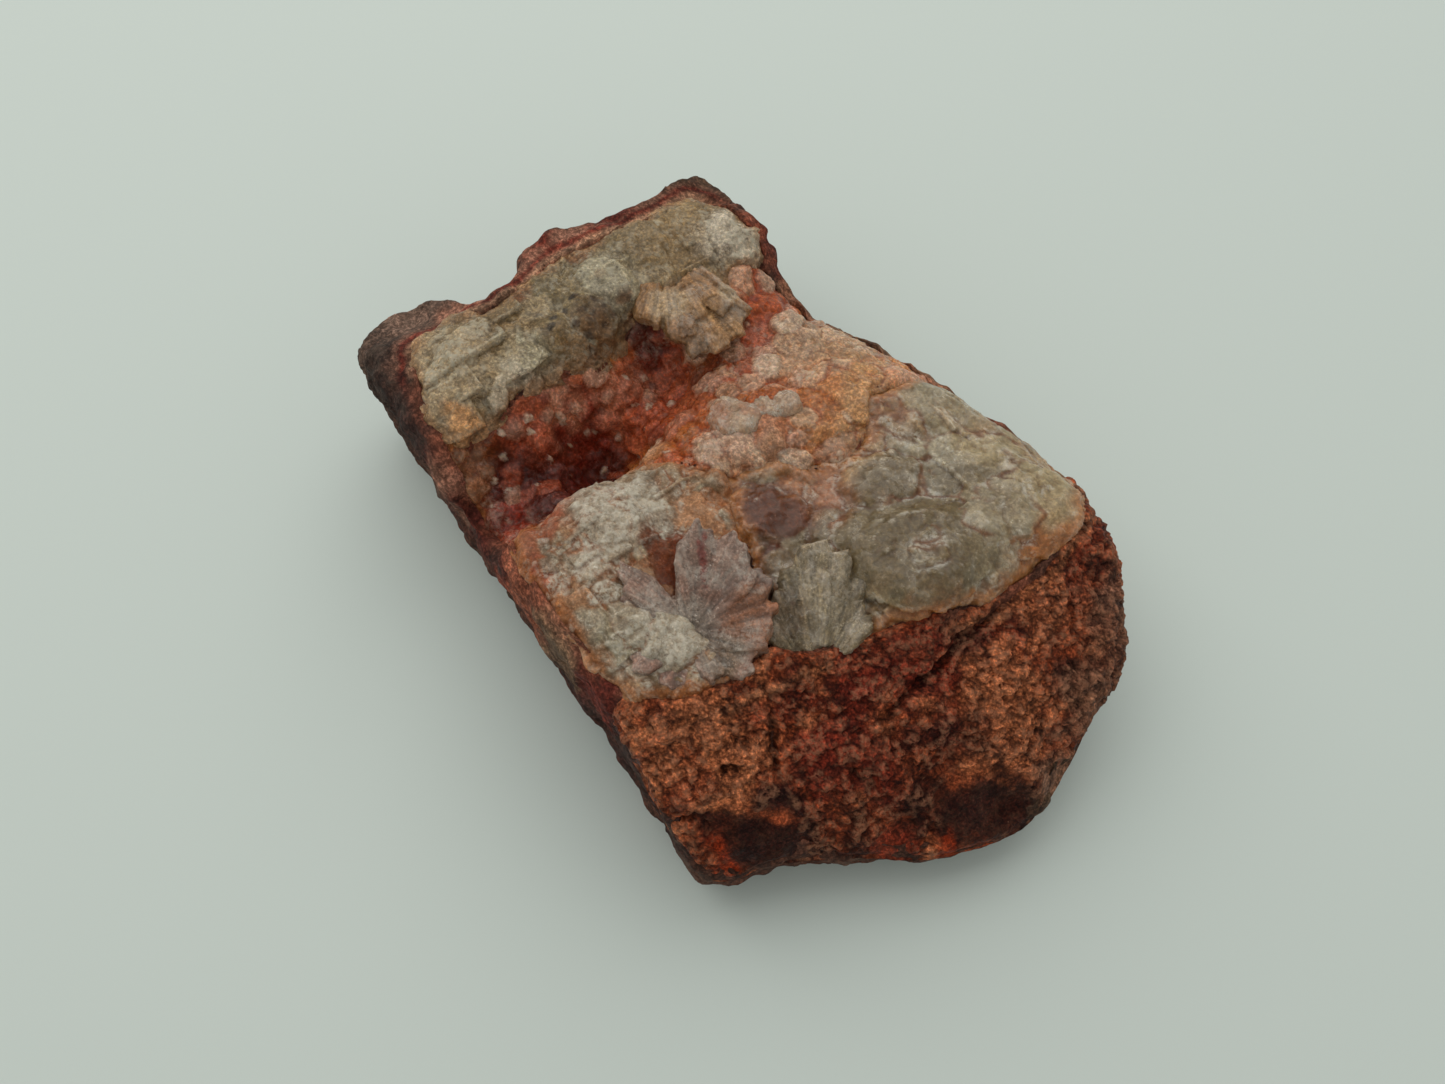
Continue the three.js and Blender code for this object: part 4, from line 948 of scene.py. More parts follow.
# Frosted crust: sugary white to cream quartz with peach pits.
moundLook = {
    "paintedHighlight": "#efe9da", "cloudSize": 2.6, "cloud": 0.14, "speckSize": 0.55, "speck": 0.14,
    "fineSize": 0.4, "fine": 0.28, "veilSize": 2.6, "veil": 0.4, "frostSize": 0.8,
    "frostColour": "#c9c1b0", "gloss": (0.25, 0.6), "shine": 0.2, "glow": 0.45,
    "glowRadius": (1, 0.75, 0.55), "glowDepth": 1, "bumpSize": 0.6, "bump": 0.9, "facetSize": 1.5,
    "facetTilt": 0.4, "paintedGlints": 0.9, "lines": 0.25, "cracks": 0.4, "dirt": 0.4,
    "dirtColour": "#5c4632",
}
mound = {
    "node": "frosted_mound", "slot": "frosted_crystal", "seed": 8, "step": 0.22, "reach": 1.8,
    "thick": 3, "base": "cream", "material": "frosted quartz crust", "floor": -0.1, "relief": 0.15,
    "stand": 0.36, "grit": 0.11, "rim": 0.7, "slant": 0.16, "gapShare": 0.7,
    "bare": [(4.8, -21.2, 4.6)],
    "tones": [("white", 0.15), ("peach", 0.2), ("ice", 0.1), ("amber", 0.08)],
    "sink": (0.2, 0.3, 0.38),
    "crusts": [
        (-8, -24.4, 2.6), (-6.6, -20, 4), (-4.6, -16.6, 2.4), (-2.6, -25, 2), (-1, -29.6, 2.2),
        (3.6, -30.6, 2), (12.4, -29.6, 4), (14.6, -27.6, 3), (-2, -35.6, 1.4), (10.4, -33, 1.4),
    ],
    "chips": [
        (16.4, -35.4, 2.6, 2.4, 10, "ice"), (4, -36.2, 2, 4, 40, "ice"),
        (6.6, -37.6, 2.4, 3.4, 60, "ice"), (-10.6, -28.2, 1.8, 2, 0, "rose"),
        (-11, -24.2, 2, 1.8, 30, "rose"), (19.6, -27, 2, 1.6, 30, "stone"),
        (17.4, -33, 1.8, 1.6, 30, "stone"), (21.2, -22, 1.6, 1.4, 10, "stone"),
        (0.6, -19, 1.6, 2, 45, "white"),
    ],
    "palette": {
        "gap": "#8e5430", "cream": "#8a7156", "white": "#a69782", "ice": "#93876e",
        "peach": "#a17553", "brown": "#6c3216", "rust": "#994d30", "stone": "#77644d",
        "rose": "#9d7b64", "amber": "#a06234",
    },
    "placed": [
        (-8, -25.4, 6.4, 5.4, 1.4, 20, "flush", "white"),
        (-7.4, -20.8, 7.6, 5.8, 1.4, 10, "flush", "white"),
        (-5.4, -16.4, 5.6, 5, 1.4, 30, "flush", "white"),
        (-2.6, -24, 5.4, 5, 1.2, 44, "flush", "white"),
        (-2.6, -29, 6, 5.4, 1.2, 0, "flush", "cream"),
        (-10.6, -28.4, 3.8, 3.4, 1.5, 15, "flush", "rose"),
        (-10.6, -24, 3.6, 3.4, 1.5, 15, "flush", "rose"),
        (3.6, -36.4, 6.4, 4, 1.2, 35, "flush", "ice"),
        (6.8, -38, 5.8, 4.4, 1.2, 20, "flush", "stone"),
        (16.4, -35.4, 3.8, 3.4, 1.8, 15, "flush", "ice"),
        (1.4, -13, 7, 6, 1.2, 10, "flush", "peach"), (4.4, -31, 5.4, 4.4, 1.1, 0, "flush", "cream"),
        (11, -33.4, 5.6, 4.6, 1.2, 0, "flush", "stone"),
        (17.6, -31.6, 5, 4.4, 1.2, 30, "flush", "stone"),
        (20.4, -26.4, 4.8, 4.4, 1.2, 30, "flush", "ice"),
        (-6.6, -37, 3.6, 3, 1.2, 0, "flush", "rust"), (21.6, -20, 4.4, 3.8, 1, 0, "flush", "stone"),
        (-3.4, -37.6, 3.4, 3, 1.2, 40, "flush", "rust"),
        (8, -12.4, 5, 4.4, 1, 10, "flush", "brown"), (14, -27, 9, 7, 4.6, 30, "flush", "white"),
        (9.6, -30.6, 6, 5, 3.4, 10, "flush", "white"),
    ],
    "scatter": [(2.6, 4, 600, everywhere), (1.5, 2.4, 900, everywhere)],
    "habits": ["flush", "shard", "flush"], "facets": [(2.6, 0.11), (1.2, 0.08)],
    "swells": (4.5, 0.2), "seam": ("amber", 0.75, 2.2), "frostAmount": 0.4, "spread": 0.3,
    "own": 0.75,
    "marks": [
        ("white", -6, -21, 6, 0.85), ("white", -2, -27, 5, 0.6), ("peach", 0.7, -34.2, 3.2, 0.85),
        ("brown", 3, -19.5, 4, 0.9), ("brown", 6.5, -22.5, 3, 0.9), ("rust", -6.5, -37.4, 4, 0.95),
        ("rust", -11.6, -33, 3, 0.8), ("rose", -10, -27, 3, 0.7), ("ice", 11, -35, 4, 0.7),
        ("ice", 13, -29, 4.5, 0.8), ("stone", 19, -29, 4, 0.8), ("stone", 21.5, -24, 3.4, 0.8),
        ("brown", 22, -18, 3, 0.8), ("peach", 20, -33.6, 3, 0.8), ("rust", 7.6, -28.2, 1.6, 0.9),
        ("peach", 3.4, -11.6, 4, 0.7), ("peach", 10, -12, 4, 0.7), ("brown", 5, -17, 3, 0.8),
        ("peach", -1, -12.6, 3.4, 0.8), ("brown", 9, -20, 4, 0.8), ("peach", 2.4, -23.6, 2, 0.7),
        ("rust", -12.6, -28, 2, 0.7), ("peach", -8.4, -29, 2, 0.6), ("white", -7.6, -22, 4.4, 0.6),
        ("ice", 9, -32, 3.4, 0.7), ("amber", 21.8, -28.4, 2.8, 0.85), ("amber", 18.4, -35, 3, 0.85),
        ("rust", 25, -21, 2.6, 0.85), ("rust", -12.6, -31, 2.4, 0.7), ("ice", 6.4, -36, 3, 0.8),
        ("amber", 23, -25, 2.4, 0.7), ("brown", 5.6, -20.4, 4, 0.9), ("rust", 7.4, -19.6, 1.6, 0.8),
        ("white", 6.2, -36, 2.6, 0.7),
    ],
}

# Broken milky quartz: cream to grey-green, mottled, in low tilted splinters.
paleLook = {
    "paintedHighlight": "#e0d8c4", "cloudSize": 2.4, "cloud": 0.2, "speckSize": 0.6, "speck": 0.18,
    "fineSize": 0.45, "fine": 0.42, "veilSize": 3, "veil": 0.36, "frostSize": 0.8,
    "frostColour": "#b6ad98", "gloss": (0.2, 0.5), "shine": 0.25, "glow": 0.5,
    "glowRadius": (1, 0.75, 0.5), "glowDepth": 1.1, "clear": 0.04, "bumpSize": 0.7, "bump": 0.7,
    "facetSize": 2, "facetTilt": 0.4, "paintedGlints": 0.8, "lines": 0.16, "cracks": 0.6, "dirt": 0.6,
    "dirtColour": "#4a3a24",
}
pale = {
    "node": "pale_band", "slot": "pale_crystal", "seed": 11, "step": 0.22, "reach": 1.8, "thick": 3,
    "base": "mid", "material": "broken milky quartz", "floor": -0.05, "relief": 0.08, "stand": 0.4,
    "grit": 0.07, "rim": 0.6, "slant": 0.16, "gapShare": 0.4, "bare": [],
    "tones": [("cream", 0.12), ("moss", 0.12), ("ice", 0.1)], "sink": (0.16, 0.2, 0.26),
    "crusts": [(-42, -27, 3), (-44, -22, 2), (-41, -31, 2), (-34, 22, 2.4)],
    "chips": [
        (-35, -23.6, 1.8, 4.6, 148, "ice"), (-33.2, -19.4, 1.8, 3.8, 148, "ice"),
        (-38, -25.6, 1.6, 2.6, 148, "cream"), (-40.4, 1.2, 2, 2.4, 40, "ice"),
        (-44, 12, 1.8, 2.6, 20, "straw"), (-38.6, -14, 1.8, 2.6, 10, "ice"),
        (-36.8, 21.8, 2.4, 3, 30, "milk"), (-42.4, 20.2, 1.8, 2.4, 60, "milk"),
        (-37.4, -5.4, 2, 2.4, 70, "moss"),
    ],
    "palette": {
        "gap": "#54401f", "mid": "#7a6343", "cream": "#a48f6f", "moss": "#746342",
        "straw": "#8d724a", "milk": "#bfb19c", "ice": "#a69c82", "amber": "#ba8b5c",
        "rust": "#814a2b", "brown": "#6d492b", "shade": "#2e2216", "fawn": "#96704e",
    },
    "placed": [
        (-33.8, -25, 3, 5.4, 3.2, 58, "block", "milk"),
        (-33, -19.6, 3.2, 5.2, 2.8, 58, "block", "milk"),
        (-36.6, -26.6, 2.6, 4.4, 2.4, 62, "block", "cream"),
        (-32.8, -16, 2.6, 4, 2.2, 50, "block", "ice"),
        (-37.4, -23.4, 4, 7, 1.0, 60, "shard", "cream"),
        (-35.6, -18.6, 3.6, 7, 1.0, 60, "shard", "ice"),
        (-32, -31.4, 6.8, 6, 1.5, 20, "lump", "amber"),
        (-31.6, -16.4, 3.6, 5, 1.2, 60, "shard", "moss"),
        (-33.6, -12, 6.4, 6, 1.2, 30, "shard", "straw"),
        (-33.4, 23.6, 6, 5, 1.8, 10, "lump", "milk"),
        (-37.4, 20.4, 6, 5.4, 1.5, 30, "lump", "milk"),
        (-43, -8.5, 8.6, 6.6, 0.9, 0, "shard", "moss"),
        (-41, -0.5, 7.6, 6.6, 1.0, 48, "shard", "ice"), (-43, 8, 7.6, 7.6, 1, 25, "shard", "mid"),
        (-42, -18.5, 7.6, 7.6, 0.9, 12, "flush", "straw"),
        (-42.5, -27, 7.6, 7.6, 0.8, 5, "flush", "cream"),
        (-41.5, 17, 8.6, 7.6, 1, 8, "shard", "straw"),
    ],
    "scatter": [(3.8, 6, 320, everywhere), (1.8, 3, 700, everywhere)],
    "habits": ["flush", "shard", "flush"], "facets": [(4.2, 0.12), (1.8, 0.08)], "swells": (6, 0.2),
    "seam": ("fawn", 0.75, 1.6), "frostAmount": 0.45, "spread": 0.2, "own": 0.5,
    "marks": [
        ("cream", -42, -27, 7, 0.85), ("cream", -38, -31, 5, 0.7), ("straw", -38.6, -24, 4, 0.5),
        ("ice", -36, -19, 4.4, 0.75), ("moss", -41.5, -11, 4, 0.7), ("moss", -44, -5, 6, 0.7),
        ("ice", -40, 0.5, 5, 0.6), ("moss", -45, 8, 5, 0.6), ("straw", -40, 9, 5, 0.6),
        ("straw", -45, 18, 5, 0.7), ("milk", -36.4, 20, 5, 0.8), ("amber", -32, 23.4, 2.8, 0.8),
        ("amber", -32.2, -31.6, 3, 0.8), ("brown", -31.8, -11, 3, 0.85),
        ("brown", -34, -21.7, 0.9, 0.95), ("cream", -37, -24, 4, 0.6),
        ("milk", -34.6, -21, 2.4, 0.5), ("milk", -33.6, 22.6, 3.4, 0.8),
        ("brown", -40.4, -0.6, 1, 0.8), ("brown", -36.6, 0.2, 1, 0.8), ("brown", -34, -6, 3, 0.6),
        ("shade", -37, -2, 3, 0.4), ("amber", -32.6, -32, 3.2, 0.9), ("rust", -47.6, -12, 2.4, 0.6),
        ("rust", -48, -1, 2, 0.5),
    ],
    "dirtSpecks": [  # x, y, radius of dark dirt
        (-39.4, -11.4, 0.9), (-36.2, -9, 0.8), (-35.2, -6.6, 0.7), (-36.4, -5.8, 0.6),
        (-37.8, -7.2, 0.7), (-34.4, -4.6, 0.7), (-38.6, -5, 0.6), (-36.8, -3.6, 0.7),
        (-35.4, -2.2, 0.6), (-39.2, -8.6, 0.7), (-40.6, -6.2, 0.6), (-33.8, -8, 0.7),
        (-41.2, -13.4, 0.7), (-37.4, -12.6, 0.6),
    ],
}
pale["marks"] += [("shade", x, y, radius, 0.95) for x, y, radius in pale["dirtSpecks"]]
fullFrost = 2  # marks a chip that is white all over


def bedCrystals(bed, depth):  # the large ones listed, chips on them, then a seeded scatter
    random = np.random.default_rng(bed["seed"])
    crystals, taken = [], []
    for x, y, width, breadth, tall, turn, habit, tone in bed["placed"]:
        crystals.append(crystalAt(random, x, y, width, breadth, tall * bed["stand"],
                                  math.radians(turn), habit, 7, 0.06, tone))
        taken.append((x, y, 0.55 * (width + breadth) / 2))
    for x, y, width, breadth, turn, tone in bed["chips"]:
        crystals.append(crystalAt(random, x, y, width, breadth, 0.2 + 0.16 * width,
                                  math.radians(turn), "chip", 6, 0.3, tone))
        crystals[-1]["frost"] = fullFrost
    for x, y, size in scattered(random, depth, bed["scatter"], taken, -0.6 * bed["reach"]):
        habit = bed["habits"][int(random.random() * len(bed["habits"]))]
        breadth = size * (0.9 + 0.8 * random.random())
        tall = bed["relief"] * size * (0.5 + random.random())
        crystals.append(crystalAt(random, x, y, 1.2 * size, breadth, tall,
                                  random.random() * anyTurn, habit, 6, bed["slant"]))
        for tone, share in bed["tones"] if onRidge(x, y) else bed.get("innerTones", bed["tones"]):
            if random.random() < share:
                crystals[-1]["tone"] = tone
    # Sparks: small tips frosted white as painted glints, except the dim ones.
    for x, y, size, tone in bed.get("sparks", []):
        crystals.append(crystalAt(random, x, y, size, 1.1 * size, 0.3 * size,
                                  random.random() * anyTurn, "chip", 6, 0.3, tone))
        crystals[-1]["frost"] = 0 if tone == "dim" else fullFrost
    return crystals


def growBed(bed, look):
    seed, reach, palette = bed["seed"], bed["reach"], bed["palette"]
    depth = bedDepth[bed["node"]]
    sheet = openSheet(bed["step"], depth, reach)
    crystals = bedCrystals(bed, depth)
    shape = sheet["depth"].shape
    foot = sheet["foot"].reshape(-1, 3)
    floor = bed["floor"] + 0.2 * rough(foot, 2.5, 3, seed).reshape(shape)
    lift, groove, owner, cap = (v.ravel() for v in grown(sheet, crystals, floor))
    fall = fade((-sheet["depth"].ravel() - 0.55 * reach) / (0.45 * reach))
    inner = sheet["depth"].ravel() + 0.9 * rough(foot, 2.6, 3, seed + 80)
    taper = fade((1.0 - inner) / (1.0 + reach))
    lift = lift + bed["swells"][1] * rough(foot, bed["swells"][0], 2, seed + 1)
    lift = lift - 2.2 * fall - 0.9 * taper  # the bed dives into the rock at its edge
    points = foot + sheet["out"].reshape(-1, 3) * lift[:, None]
    crust = np.zeros(len(points))
    for x, y, radius in bed["crusts"]:
        away = np.hypot(points[:, 0] - x, points[:, 1] - y) + 1.1 * rough(points, 2.4, 3, seed + 30)
        crust = np.maximum(crust, fade((1.15 - away / radius) / 0.3))
    shade = np.ones(len(points))
    for k, (size, strength) in enumerate(bed["facets"]):
        bent = points + 0.2 * size * rough(points, size, 2, 300 + k)[:, None]
        plane, own = facets(bent, size, seed + 50 + k)
        lift += strength * plane * (1 - 0.5 * crust)
        shade *= 0.94 + 0.12 * own
    grit = rough(points, 1.3, 3, seed + 60)
    sugar, _, _ = bumps(points, 0.9, seed + 70)
    lift += (bed["grit"] + 0.06 * crust) * grit + crust * (0.2 + 0.2 * (sugar - 0.5))
    grid = lift.reshape(shape)
    proud = np.clip((grid - softened(softened(grid, 2), 2)) / 0.13, -1, 1).ravel()
    between = 1 - fade(groove / 0.22)
    # A band round each crystal, later frosted white as a painted highlight.
    rim = fade(groove / 0.14) * (1 - fade((groove - 0.16) / 0.25))
    rim = rim * fade(0.3 + 2.2 * rough(points, 2, 3, seed + 40))
    piece, used = closedSheet(bed["node"] + "_surface", sheet, sheet["depth"] > -reach, grid,
                              bed["thick"])
    points, owner, cap, between, shade, proud, crust, rim, inner = (
        v[used.ravel()] for v in (points, owner, cap, between, shade, proud, crust, rim, inner))

    # Colour: stains, each crystal its own tone, dark gaps partly painted shade, the seam along the
    # edge.
    stains = (palette, bed["base"], bed["marks"], 1.3, seed + 90)
    tint = painted(points, *stains)
    own = painted(np.array([one["foot"] for one in crystals]), *stains)
    for k, one in enumerate(crystals):
        if one["tone"]:
            own[k] = linearColour(palette[one["tone"]])
        own[k] *= 1 + bed["spread"] * 2 * (one["shade"] - 0.5)
    held = (np.where(owner < 0, 0, bed["own"]) * fade(0.35 + 0.65 * cap))[:, None]
    tint = tint * (1 - held) + own[owner] * held
    # The gaps between crystals take their own orange-brown and painted shade.
    gaps = bed["gapShare"] * between * fade(0.7 + 0.8 * rough(points, 4, 2, seed + 45))
    stain(tint, palette["gap"], gaps)
    seamTone, seamShare, seamWide = bed["seam"]
    seam = seamShare * fade((seamWide - inner) / 1.8)
    stain(tint, palette[seamTone], seam)
    tint *= shade[:, None]
    # Painted shade in low places and a painted highlight on proud ones, following the relief.
    low, high = 1 + proud[:, None] * np.array(bed["sink"]), 1 + 0.12 * proud[:, None]
    tint *= np.where(proud[:, None] < 0, low, high)

    # Frost: on the caps of some crystals, on the sugary crusts and white chips; painted highlight
    # along edges.
    ownFrost = np.array([one["frost"] for one in crystals])[owner] * (owner >= 0)
    whole = ownFrost > 1.5
    frost = bed["frostAmount"] * fade((cap - 0.4) / 0.5) * fade((ownFrost - 0.45) / 0.35)
    # From here frost also carries painted highlight: stronger where proud, along proud edges and
    # crystal rims.
    frost = frost * (0.55 + 0.45 * proud)
    edge = fade((proud - 0.7) / 0.3) * fade(0.5 + 1.2 * rough(points, 2.2, 3, seed + 85))
    frost = np.maximum(frost, bed["rim"] * np.maximum(rim, 0.8 * edge))
    frost = np.maximum(frost, np.maximum(0.95 * crust * (0.75 + 0.25 * proud),
                                         0.9 * whole * fade(cap / 0.4)))
    onDark = 1 - fade((tint.max(axis=1) - 0.04) / 0.06)
    frost *= (1 - 0.7 * seam) * (1 - 0.8 * onDark * ~whole)
    for x, y, radius in bed["bare"]:
        near = fade((1.2 - np.hypot(points[:, 0] - x, points[:, 1] - y) / radius) / 0.4)
        frost *= 1 - 0.85 * near * ~whole
    setTint(piece.data, np.concatenate([tint, tint]))
    setAttribute(piece.data, "frost", np.clip(np.concatenate([frost, 0 * frost]), 0, 1))
    finished(piece, stoneMaterial(bed["material"], look), [bed["node"]])


# Bladed quartz: silky, cloudy plates with fine ribs fanning from one root.
bladeLook = {
    "paintedHighlight": "#e6ddd0", "cloudSize": 3, "cloud": 0.1, "speckSize": 0.6, "speck": 0.07,
    "fineSize": 0.4, "fine": 0.32, "veilSize": 2.4, "veil": 0.3, "frostSize": 0.8,
    "frostColour": "#c8beb0", "gloss": (0.12, 0.35), "shine": 0.3, "glow": 0.55,
    "glowRadius": (1, 0.8, 0.7), "glowDepth": 1.2, "clear": 0.03, "bumpSize": 0.8, "bump": 0.5,
    "facetSize": 2.6, "facetTilt": 0.16, "paintedGlints": 0.6, "lines": 0.24, "cracks": 0.3, "dirt": 0.4,
    "dirtColour": "#6a4a38", "fibre": 0.5,
}
rosette = {
    "seed": 4, "slot": "pink_blades", "material": "pinkish bladed quartz", "base": "pink",
    "frost": 0.4, "break": 0.08, "ribs": 0.15, "voxel": 0.2, "root": (14.8, -24.2, 35), "fan": 9,
    "prisms": [],
    "palette": {
        "pink": "#7d5e4f", "light": "#866c5e", "streak": "#74342a", "dusk": "#926042",
        "white": "#7e6f62", "stone": "#6d5b48",
    },
    "blades": [  # root x, y, z, heading, pitch, length, root width, tip width, thickness, roll
        (14.6, -24, 35.6, 134, 23, 14.4, 3.4, 7.6, 1.1, 7),
        (14.9, -23.8, 35.5, 116, 25, 13.8, 3.4, 9.6, 1.1, -4),
        (15.2, -24, 35.3, 92, 22, 12.6, 3.4, 8.6, 1.0, 5),
        (15.8, -24.2, 34.8, 66, 19, 11.4, 3.6, 9, 1.0, -5),
        (15.8, -24.6, 34.6, 38, 13, 9.6, 3.6, 8, 1.1, 8),
        (15.4, -25, 34.8, 14, 9, 7.4, 3.4, 6.4, 1.1, -6),
        (14.2, -24.8, 35.2, -168, 18, 12.4, 3.2, 4.8, 1.2, 6),
        (14.2, -25, 35.0, -147, 14, 10.4, 3.4, 7.4, 1.1, -6),
        (14.2, -24.4, 34.8, 164, 10, 5.6, 3, 3.6, 1.0, 8),
        (14.6, -25.4, 34.8, -108, 8, 8.6, 3.4, 7.4, 1.1, 6),
        (15, -25.6, 34.8, -62, 2, 7, 3.4, 7.4, 1.1, 0),
        (15.2, -25.4, 34.8, -20, 1, 6.4, 3.4, 7, 1.1, 5),
    ],
    "marks": [
        ("light", 8.5, -16.5, 5, 0.8), ("streak", 5.8, -15.2, 0.6, 0.8),
        ("streak", 6.6, -16.4, 0.7, 0.9), ("streak", 7.6, -17, 0.7, 0.9),
        ("streak", 8.6, -17.6, 0.6, 0.9), ("streak", 9.6, -18.2, 0.6, 0.8),
        ("streak", 10.6, -18.8, 0.5, 0.7), ("streak", 11.6, -19.6, 0.4, 0.5),
        ("dusk", 20, -17, 4.4, 0.8), ("dusk", 17, -16, 2, 0.6), ("light", 12, -15, 2.4, 0.6),
        ("light", 8, -25.5, 4, 0.7), ("white", 14.6, -24.8, 4, 0.9), ("white", 12, -28.6, 4, 0.7),
        ("stone", 20.6, -23.4, 3, 0.8),
    ],
}
sheaf = {
    "seed": 6, "slot": "green_blades", "material": "greenish bladed quartz", "base": "green",
    "frost": 0.35, "break": 0.12, "ribs": 0.12, "voxel": 0.2, "root": (30, -14, 33), "fan": 14,
    "palette": {"green": "#72634a", "light": "#8c7d64", "tan": "#725e47"},
    "blades": [
        (25.4, -13.4, 33.2, 172, 28, 9, 3, 6.6, 1.4, 6),
        (25, -13.6, 33.2, -166, 24, 5.6, 3, 4.6, 1.4, 0),
        (28.4, -9.2, 33.4, 108, 18, 7, 3, 5, 1.6, -10),
    ],
    "prisms": [  # root x, y, z, heading, pitch, length, width, thickness, roll
        (26.6, -11.8, 33.2, 144, 26, 15.2, 5.8, 2.6, 4),
        (27.4, -10.2, 33.2, 138, 25, 13.6, 5, 2.4, -8),
        (25.4, -12.8, 33.2, 152, 26, 11.8, 5, 2.2, 12),
        (27.8, -9.4, 33, 124, 20, 10.4, 4.6, 2, -12), (26.8, -11, 34.3, 141, 26, 10.6, 3, 1.6, 2),
    ],
    "marks": [
        ("tan", 20.5, -12.4, 3.4, 0.7), ("light", 17.6, -5, 4, 0.7), ("light", 24, -7.4, 3, 0.6),
        ("light", 27.6, -11.4, 2.4, 0.5), ("light", 26.5, -6.6, 2.6, 1),
    ],
}
ledge = {
    "seed": 9, "slot": "tan_blades", "material": "tan bladed quartz", "base": "tan", "frost": 0.35,
    "break": 0.24, "ribs": 0.08, "voxel": 0.2, "root": (-38, 9, 35), "fan": 12,
    "palette": {
        "tan": "#906b45", "light": "#96744f", "brown": "#7c5a3c", "white": "#a58e6d",
    },
    "blades": [],
    "prisms": [
        (-36, 5, 34.6, -38, -3, 7, 5.6, 2.8, 3), (-33, 7.4, 34.8, -52, -6, 5.6, 4.6, 2.6, -5),
        (-33, 7.4, 34.8, -31, -6, 9.4, 4.4, 2.6, 6), (-33, 8.4, 34.8, -20, -7, 12.6, 4.4, 2.6, -4),
        (-33, 9.6, 34.8, -9, -7, 13.2, 4.4, 2.4, 5), (-33.6, 10.6, 34.8, 1, -7, 13, 4.4, 2.4, -4),
        (-34, 11.4, 34.8, 10, -6, 12, 4, 2.4, 4), (-33.6, 13.2, 35.2, 8, -3, 11, 1.4, 2.0, 20),
        (-31, 8.4, 36, -16, -9, 5.4, 4.4, 1.6, 5), (-29, 11, 36, 12, -8, 4.6, 3.6, 1.6, -5),
        (-27.6, 6.4, 35.4, -38, -9, 4, 3, 1.6, 6),
    ],
    "marks": [
        ("light", -24, 10, 5, 0.7), ("brown", -24, 4, 3.6, 0.7), ("tan", -22, 7, 3, 0.5),
        ("white", -27, 13.8, 1.6, 0.8), ("white", -31, 5, 3, 0.7),
    ],
}


def bladeAxes(heading, pitch, roll):  # along the blade, over its width, and out of its face
    a, p, r = (math.radians(angle) for angle in (heading, pitch, roll))
    way = np.array([math.cos(a) * math.cos(p), math.sin(a) * math.cos(p), math.sin(p)])
    side = np.array([-math.sin(a), math.cos(a), 0])
    out = np.cross(way, side)
    return way, side * math.cos(r) + out * math.sin(r), out * math.cos(r) - side * math.sin(r)


def bladeShape(random, root, heading, pitch, length, rootWidth, tipWidth, thick, roll):
    along, across, teeth = 26, 40, 0.07
    way, side, out = bladeAxes(heading, pitch, roll)
    t = np.linspace(-1, 1, across)
    phase = random.random(6) * anyTurn
    scallop = 0.8 * np.sin(4 * t + phase[0]) + 0.5 * np.sin(11 * t + phase[1])
    scallop = scallop + 0.25 * (random.random(across) - 0.5)
    reach = length * (1 - 0.22 * np.abs(t) ** 2.4 + teeth * scallop)
    ribs = 0.5 * np.sin(5 * t + phase[2]) + 0.3 * np.sin(14 * t + phase[3])
    ribs = ribs + 0.2 * np.sin(37 * t + phase[4])
    top, under = [], []
    for s in np.linspace(0, 1, along):
        width = rootWidth + (tipWidth - rootWidth) * min(1, s * 1.25) ** 0.8
        body = thick * (0.35 + 0.65 * math.sqrt(max(0, 1 - (2 * s - 0.7) ** 2 * 0.55)))
        thinning = 1 if s < 0.93 else 0.45 + 0.55 * (1 - s) / 0.07
        edge = np.sqrt(np.clip(1 - np.abs(t) ** 3, 0, 1)) * thinning
        half = 0.5 * body * (0.22 + 0.78 * edge)
        rise = 0.1 * thick * ribs * (0.3 + 0.7 * s)
        deep = 0.8 + 3.6 * s  # the plate thickens downward so that it stands in its bed
        middle = root + np.outer(reach * s, way) + np.outer(t * width / 2, side)
        top.append(middle + np.outer(half + rise, out))
        under.append(middle - np.outer(half + deep, [0.25 * out[0], 0.25 * out[1], 1]))
    lower = along * across
    grid = np.arange(lower).reshape(along, across)
    quads = np.stack([grid[:-1, :-1], grid[1:, :-1], grid[1:, 1:], grid[:-1, 1:]], -1)
    quads = quads.reshape(-1, 4)
    faces = [face for quad in quads.tolist() for face in (quad, [c + lower for c in quad[::-1]])]
    border = np.concatenate([grid[0], grid[1:, -1], grid[-1, -2::-1], grid[-2:0:-1, 0]]).tolist()
    for here, there in zip(border, border[1:] + border[:1]):
        faces.append([here, there, there + lower, here + lower])
    return np.concatenate(top + under), faces


def prismShape(random, root, heading, pitch, length, width, thick, roll):  # a flattened crystal
    along, around = 34, 40
    way, side, out = bladeAxes(heading, pitch, roll)
    corners = np.array([(-0.5, -0.05), (-0.34, 0.36), (0.06, 0.5), (0.36, 0.34), (0.5, -0.1),
                        (0.3, -0.45), (-0.3, -0.5)])
    corners += 0.08 * (random.random(corners.shape) - 0.5)
    share = np.arange(around) / around * len(corners)
    first = share.astype(int)
    ring = corners[first]
    ring = ring + (corners[(first + 1) % len(corners)] - ring) * (share - first)[:, None]
    slant = (random.random() - 0.5) * 0.9
    points = []
    for s in np.linspace(0, 1, along):
        size = 0.72 + 0.28 * min(1, s * 2) - 0.3 * max(0, s - 0.86) / 0.14
        step = 0.05 * math.sin(9 * s + 6 * slant)
        u, v = ring[:, 0] * width * (size + step), ring[:, 1] * thick * size
        reach = length * s + slant * u * s ** 3 - 0.35 * np.abs(v) * (s > 0.97)
        points.append(root + np.outer(reach, way) + np.outer(u, side) + np.outer(v, out))
    faces = [list(range(around)), [(along - 1) * around + k for k in range(around)][::-1]]
    for j in range(along - 1):
        for k in range(around):
            q, n = j * around + k, j * around + (k + 1) % around
            faces.append([q, q + around, n + around, n])
    return np.concatenate(points), faces


